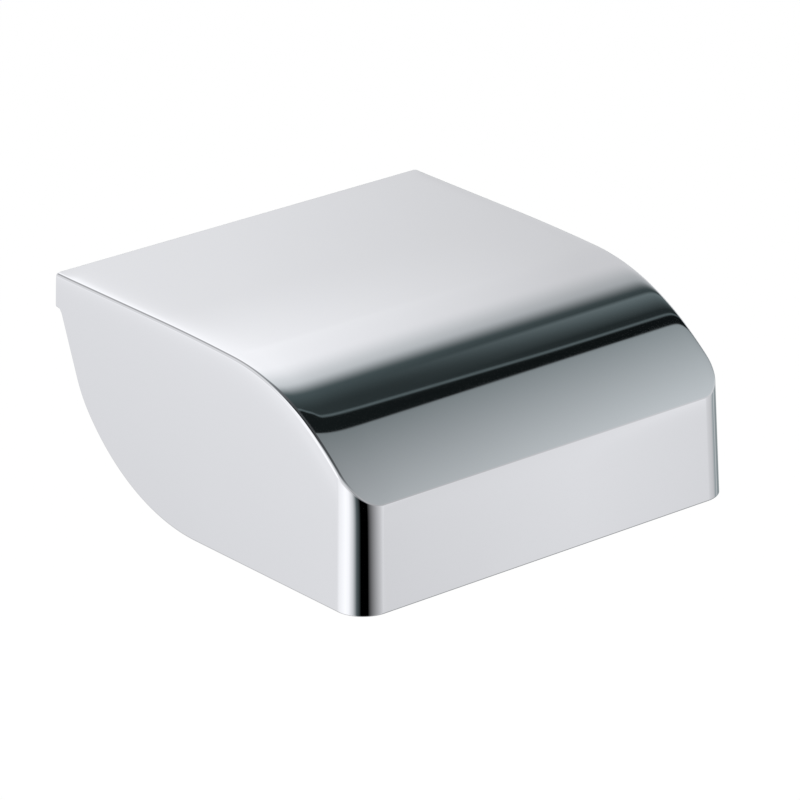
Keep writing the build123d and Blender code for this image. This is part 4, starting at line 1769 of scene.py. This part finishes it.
    def add_ramp(self, tree: NodeTree, value: Any, stops: Tones) -> Node:
        """Grade light along a scale from its first stop to its last.

        Args:
            tree: The node tree.
            value: Where on the scale to read it.
            stops: The scale's stops.

        Returns:
            The node that gives the graded colour.
        """
        low, high = stops[0].at, stops[-1].at
        share = add(tree, "ShaderNodeMapRange", {"Value": value, "From Min": low, "From Max": high})
        ramp = add(tree, "ShaderNodeValToRGB", {"Fac": share})
        marks = ramp.color_ramp.elements
        while len(marks) < len(stops):
            marks.new(1.0)
        for mark, stop in zip(marks, stops):
            mark.position = (stop.at - low) / (high - low)
            mark.color = stop.colour()
        return ramp

    def add_scales(self, tree: NodeTree) -> dict[Scale, Any]:
        """Work out the scales from the direction that light comes from.

        Up is the angle of z over y and turn that of x over -y. The gap lags by the lesser of both
        skews times x, less its middle, and past is up less the seam's own angle.

        Args:
            tree: The world's node tree.

        Returns:
            The nodes or sockets of the scales.
        """
        way = add(tree, "ShaderNodeTexCoord").outputs["Generated"]
        x, y, z = add(tree, "ShaderNodeSeparateXYZ", {"Vector": way}).outputs
        kind = "ShaderNodeMath"
        ahead = add(tree, kind, {0: y, 1: -1.0}, operation="MULTIPLY")
        climb = add(tree, kind, {0: z, 1: y}, operation="ARCTAN2")
        swing = add(tree, kind, {0: x, 1: ahead}, operation="ARCTAN2")
        up, turn = (add(tree, kind, {0: angle}, operation="DEGREES") for angle in (climb, swing))
        beside = add(tree, kind, {0: x, 1: self.middle}, operation="SUBTRACT")
        within = add(tree, kind, {0: beside, 1: self.reach}, operation="MAXIMUM")
        left, right = (add(tree, kind, {0: within, 1: skew}, operation="MULTIPLY")
                       for skew in self.skew)
        later = add(tree, kind, {0: left, 1: right}, operation="MINIMUM")
        lag = add(tree, kind, {0: up, 1: later}, operation="ADD")
        seam = self.add_ramp(tree, x, self.seam_way)
        past = add(tree, kind, {0: seam, 1: -100.0, 2: up}, operation="MULTIPLY_ADD")
        off = add(tree, kind, {0: x}, operation="ABSOLUTE")
        return {Scale.X: x, Scale.Y: y, Scale.Z: z, Scale.OFF: off, Scale.UP: up, Scale.LAG: lag,
                Scale.PAST: past, Scale.TURN: turn}

    def add_light(self, tree: NodeTree, scales: dict[Scale, Any], light: Light) -> Any:
        """Give a light's colour: a plain or a graded one, or that of a stack of layers.

        In a stack each layer is blended over those before it.

        Args:
            tree: The world's node tree.
            scales: The scales that light is read on.
            light: The light.

        Returns:
            A node or a plain colour.
        """
        if isinstance(light, Graded):
            return self.add_ramp(tree, scales[light.scale], light.stops)
        if not isinstance(light[0], Layer):
            return (*light, 1.0)
        base = self.add_light(tree, scales, light[0].light)
        for layer in light[1:]:
            bounds = [(scales[scale], clear, full) for scale, clear, full in layer.bounds]
            share = fullness(tree, bounds, "SMOOTHSTEP")
            top = self.add_light(tree, scales, layer.light)
            base = add(tree, "ShaderNodeMix", {"Factor": share, MIX_A: base, MIX_B: top},
                       data_type="RGBA", blend_type=layer.blend.value)
        return base

    def build_world(self) -> None:
        """Build the world: white to the camera, even to rough surfaces and graded to mirrors."""
        world = bpy.data.worlds.new("studio")
        bpy.context.scene.world = world
        world.use_nodes = True
        tree = world.node_tree
        tree.nodes.clear()
        above = Layer(Blend.MIX, self.overhead, ((Scale.Z, *self.horizon),))
        surroundings = (*self.round_about, above, self.joint)
        mirrored = self.add_light(tree, self.add_scales(tree), surroundings)
        path = add(tree, "ShaderNodeLightPath").outputs
        straight = add(tree, "ShaderNodeMath", {
            0: path["Is Camera Ray"], 1: path["Is Transmission Ray"]}, operation="MAXIMUM")
        even = (self.room, self.room, self.room, 1.0)
        seen = add(tree, "ShaderNodeMix", {
            "Factor": path["Is Glossy Ray"], MIX_A: even, MIX_B: mirrored}, data_type="RGBA")
        final = add(tree, "ShaderNodeMix", {"Factor": straight, MIX_A: seen, MIX_B: WHITE},
                    data_type="RGBA")
        ground = add(tree, "ShaderNodeBackground", {"Color": final, "Strength": 1.0})
        add(tree, "ShaderNodeOutputWorld", {"Surface": ground})

    def make_prop(self, name: str, points: Array, faces: Array, material: Material) -> Object:
        """Make a prop that stands in the studio.

        Args:
            name: Its name.
            points: Its points in metres.
            faces: Four indices for each face.
            material: Its material.

        Returns:
            The new object.
        """
        mesh = bpy.data.meshes.new(name)
        mesh.from_pydata(points.tolist(), [], faces.tolist())
        mesh.materials.append(material)
        prop = bpy.data.objects.new(name, mesh)
        bpy.context.scene.collection.objects.link(prop)
        return prop

    def build_floor(self) -> None:
        """Lay the floor: pale paper that keeps shadows and still reads as white to the camera."""
        material = blank("paper_sweep_matt")
        tree, (glow, share) = material.node_tree, self.floor_glow
        place = add(tree, "ShaderNodeTexCoord").outputs["Object"]
        scale = 1 / (self.floor_fibre * MM)
        fibre = add(tree, "ShaderNodeTexNoise", {"Vector": place, "Scale": scale})
        dark, light = (linear(tint) for tint in self.floor_tints)
        tint = add(tree, "ShaderNodeMix", {"Factor": fibre, MIX_A: dark, MIX_B: light},
                   data_type="RGBA")
        paper = add(tree, "ShaderNodeBsdfDiffuse", {"Color": tint})
        bright = add(tree, "ShaderNodeEmission", {"Color": WHITE, "Strength": glow})
        path = add(tree, "ShaderNodeLightPath").outputs
        lit = add(tree, "ShaderNodeMath", {0: path["Is Camera Ray"], 1: share},
                  operation="MULTIPLY")
        mixed = add(tree, "ShaderNodeMixShader", {0: lit, 1: paper, 2: bright})
        add(tree, "ShaderNodeOutputMaterial", {"Surface": mixed})
        half = self.floor_size / 2
        corners = np.array([[-half, -half], [half, -half], [half, half], [-half, half]])
        points = np.concatenate([corners, np.full((4, 1), self.floor_z)], 1)
        floor = self.make_prop("floor", points, np.arange(4)[None], material)
        floor.visible_glossy = False

    def build_reflection_card(self) -> None:
        """Stand a curved card round the hood's front left corner, to paint reflections onto it.

        The card is part of a cylinder about the corner's axis, graded by the angle from straight
        ahead. It glows, though it is no lamp, and only mirrors see it: bright where it paints a
        reflected highlight on the corner, black where it paints a dark stripe. Its ends are soft, and
        mirrors far from it, like the open hood's rim, don't see it.
        """
        (x, y), (low, high), (near, far) = self.card_axis, self.card_span, self.card_reach
        (sides, top), begin, end = self.card_fade, self.reflection_card[0].at, self.reflection_card[-1].at
        # Painted reflection: a glowing card that paints a highlight and a dark stripe on the corner
        material = blank("painted_reflection_card")
        tree = material.node_tree
        place = add(tree, "ShaderNodeTexCoord").outputs["Object"]
        out = add(tree, "ShaderNodeVectorMath", {0: place, 1: (x * MM, y * MM, 0.0)},
                  operation="SUBTRACT")
        east, north, up = add(tree, "ShaderNodeSeparateXYZ", {"Vector": out}).outputs
        south = add(tree, "ShaderNodeMath", {0: north, 1: -1.0}, operation="MULTIPLY")
        swing = add(tree, "ShaderNodeMath", {0: east, 1: south}, operation="ARCTAN2")
        angle = add(tree, "ShaderNodeMath", {0: swing}, operation="DEGREES")
        length = add(tree, "ShaderNodeLightPath").outputs["Ray Length"]
        fades = ((angle, begin, begin + sides), (angle, end, end - sides),
                 (up, high * MM, (high - top) * MM), (length, far * MM, near * MM))
        grade = self.add_ramp(tree, angle, self.reflection_card)
        glow = add(tree, "ShaderNodeEmission", {"Color": grade, "Strength": 1.0})
        clear = add(tree, "ShaderNodeBsdfTransparent")
        solid = fullness(tree, fades, "LINEAR")
        card = add(tree, "ShaderNodeMixShader", {0: solid, 1: clear, 2: glow})
        add(tree, "ShaderNodeOutputMaterial", {"Surface": card})
        turn = np.radians(np.linspace(begin, end, self.card_steps + 1))
        ring = vectors(x + self.card_r * np.sin(turn), y - self.card_r * np.cos(turn))
        points = np.concatenate([np.insert(ring, 2, level, axis=1) for level in (low, high)])
        left, row = np.arange(self.card_steps), len(ring)
        faces = np.stack([left, left + 1, left + row + 1, left + row], -1)
        reflection_card = self.make_prop("reflection_card", points * MM, faces, material)
        reflection_card.visible_camera = reflection_card.visible_diffuse = False
        reflection_card.visible_transmission = reflection_card.visible_shadow = False

    def build_lamp(self, name: str, at: Triple, size: float, power: float) -> None:
        """Hang a soft square lamp that faces the part and that no mirror shows.

        Args:
            name: Its name.
            at: Where it hangs.
            size: Its side.
            power: Its power.
        """
        data = bpy.data.lights.new(name, "AREA")
        data.size, data.energy = size, power
        lamp = bpy.data.objects.new(name, data)
        lamp.location = at
        lamp.rotation_euler = (Vector(self.aim) - Vector(at)).to_track_quat("-Z", "Y").to_euler()
        lamp.visible_glossy = False
        bpy.context.scene.collection.objects.link(lamp)

    def build_camera(self) -> None:
        """Set the camera at the photograph's angle, level and aimed at the part."""
        data = bpy.data.cameras.new("camera")
        data.lens, data.sensor_width = self.lens, self.sensor
        data.dof.use_dof = False
        camera = bpy.data.objects.new("camera", data)
        turn, rise = math.radians(self.azimuth), math.radians(self.elevation)
        level = math.cos(rise)
        back = Vector((math.sin(turn) * level, -math.cos(turn) * level, math.sin(rise)))
        camera.location = Vector(self.aim) + back * self.distance
        camera.rotation_euler = back.to_track_quat("Z", "Y").to_euler()
        bpy.context.scene.collection.objects.link(camera)
        bpy.context.scene.camera = camera

    def build(self) -> None:
        """Build the whole studio."""
        self.build_world()
        self.build_floor()
        self.build_reflection_card()
        for lamp in self.lamps:
            self.build_lamp(*lamp)
        self.build_camera()
        bpy.context.scene.view_settings.view_transform = "Standard"


@dataclass
class Holder:
    """The whole holder: builds its sub-assemblies and dresses each piece."""

    hood: Hood = field(default_factory=Hood)
    bracket: Bracket = field(default_factory=Bracket)
    hinge: Hinge = field(default_factory=Hinge)
    spindle: Spindle = field(default_factory=Spindle)
    finishes: dict[str, Material] = field(default_factory=dict)

    def finish(self, finish: Finish) -> Material:
        """Give a finish's material, made once.

        Args:
            finish: The finish.

        Returns:
            Its material.
        """
        if finish.name not in self.finishes:
            self.finishes[finish.name] = finish.make()
        return self.finishes[finish.name]

    def dress(self, piece: Object, node: str, body: Body, slot: Slot, *finishes: Finish) -> None:
        """Give a piece its finishes and set it in the place of its node.

        Args:
            piece: The piece.
            node: The node that it stands for.
            body: The body that it rides on.
            slot: The record's slot that its finish belongs to; not used.
            *finishes: Its finishes, in the order of its faces' numbers.
        """
        for finish in finishes:
            piece.data.materials.append(self.finish(finish))
        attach(piece, body.value)
        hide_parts(node)
        faces = len(piece.data.polygons)
        LOG.info("%s stands for %s on %s, %d faces", piece.name, node, body.value, faces)

    def pair(self, pieces: list[Object], node: str, body: Body, slot: Slot, finish: Finish) -> None:
        """Dress a left and a right piece alike."""
        for piece, side in zip(pieces, ("left", "right")):
            self.dress(piece, f"{node}_{side}", body, slot, finish)

    def build(self) -> None:
        """Build and dress every piece."""
        hood, bracket, hinge, spindle = self.hood, self.bracket, self.hinge, self.spindle
        fixed, lid, turning, sliding = Body.BRACKET, Body.LID, Body.SPINDLE, Body.PLUNGER
        chrome, steel = (Slot.CHROME, POLISHED_CHROME), (Slot.STEEL, BARREL_ZINC)
        plastic, rubber = (Slot.PLASTIC, MOULDED_ACETAL), (Slot.RUBBER, MOULDED_RUBBER)
        self.dress(hood.build(), "lid_cover", lid, *chrome, SATIN_CHROME)
        self.dress(bracket.build_plate(), "wall_plate", fixed, Slot.STEEL, BRUSHED_ZINC)
        self.pair(bracket.build_arms(), "side_arm", fixed, *chrome)
        self.dress(bracket.build_screws(), "arm_screws", fixed, *steel)
        self.pair(bracket.build_buffers(), "lid_buffer", fixed, *rubber)
        self.pair(hinge.build_screws(), "pivot_screw", fixed, *steel)
        self.pair(hinge.build_washers(), "pivot_washer", fixed, *steel)
        self.pair(hinge.build_bushes(), "hinge_bush", lid, *plastic)
        self.pair(spindle.build_sockets(), "spindle_socket", fixed, *plastic)
        self.dress(spindle.build_sleeve(), "spindle_sleeve", turning, *chrome)
        self.dress(spindle.build_collar(), "spindle_collar", turning, *plastic)
        self.dress(spindle.build_plunger(), "spindle_plunger", sliding, *chrome)
        left, right = spindle.build_caps()
        self.dress(left, "spindle_cap_left", turning, *plastic)
        self.dress(right, "spindle_cap_right", sliding, *plastic)
        self.dress(spindle.build_spring(), "spindle_spring", turning, *steel)


def main() -> None:
    """Build the holder and its studio, and log each piece's number of faces."""
    logging.basicConfig(level=logging.INFO, format="%(name)s: %(message)s")
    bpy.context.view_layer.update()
    Holder().build()
    Studio().build()


if __name__ == "__main__":
    main()
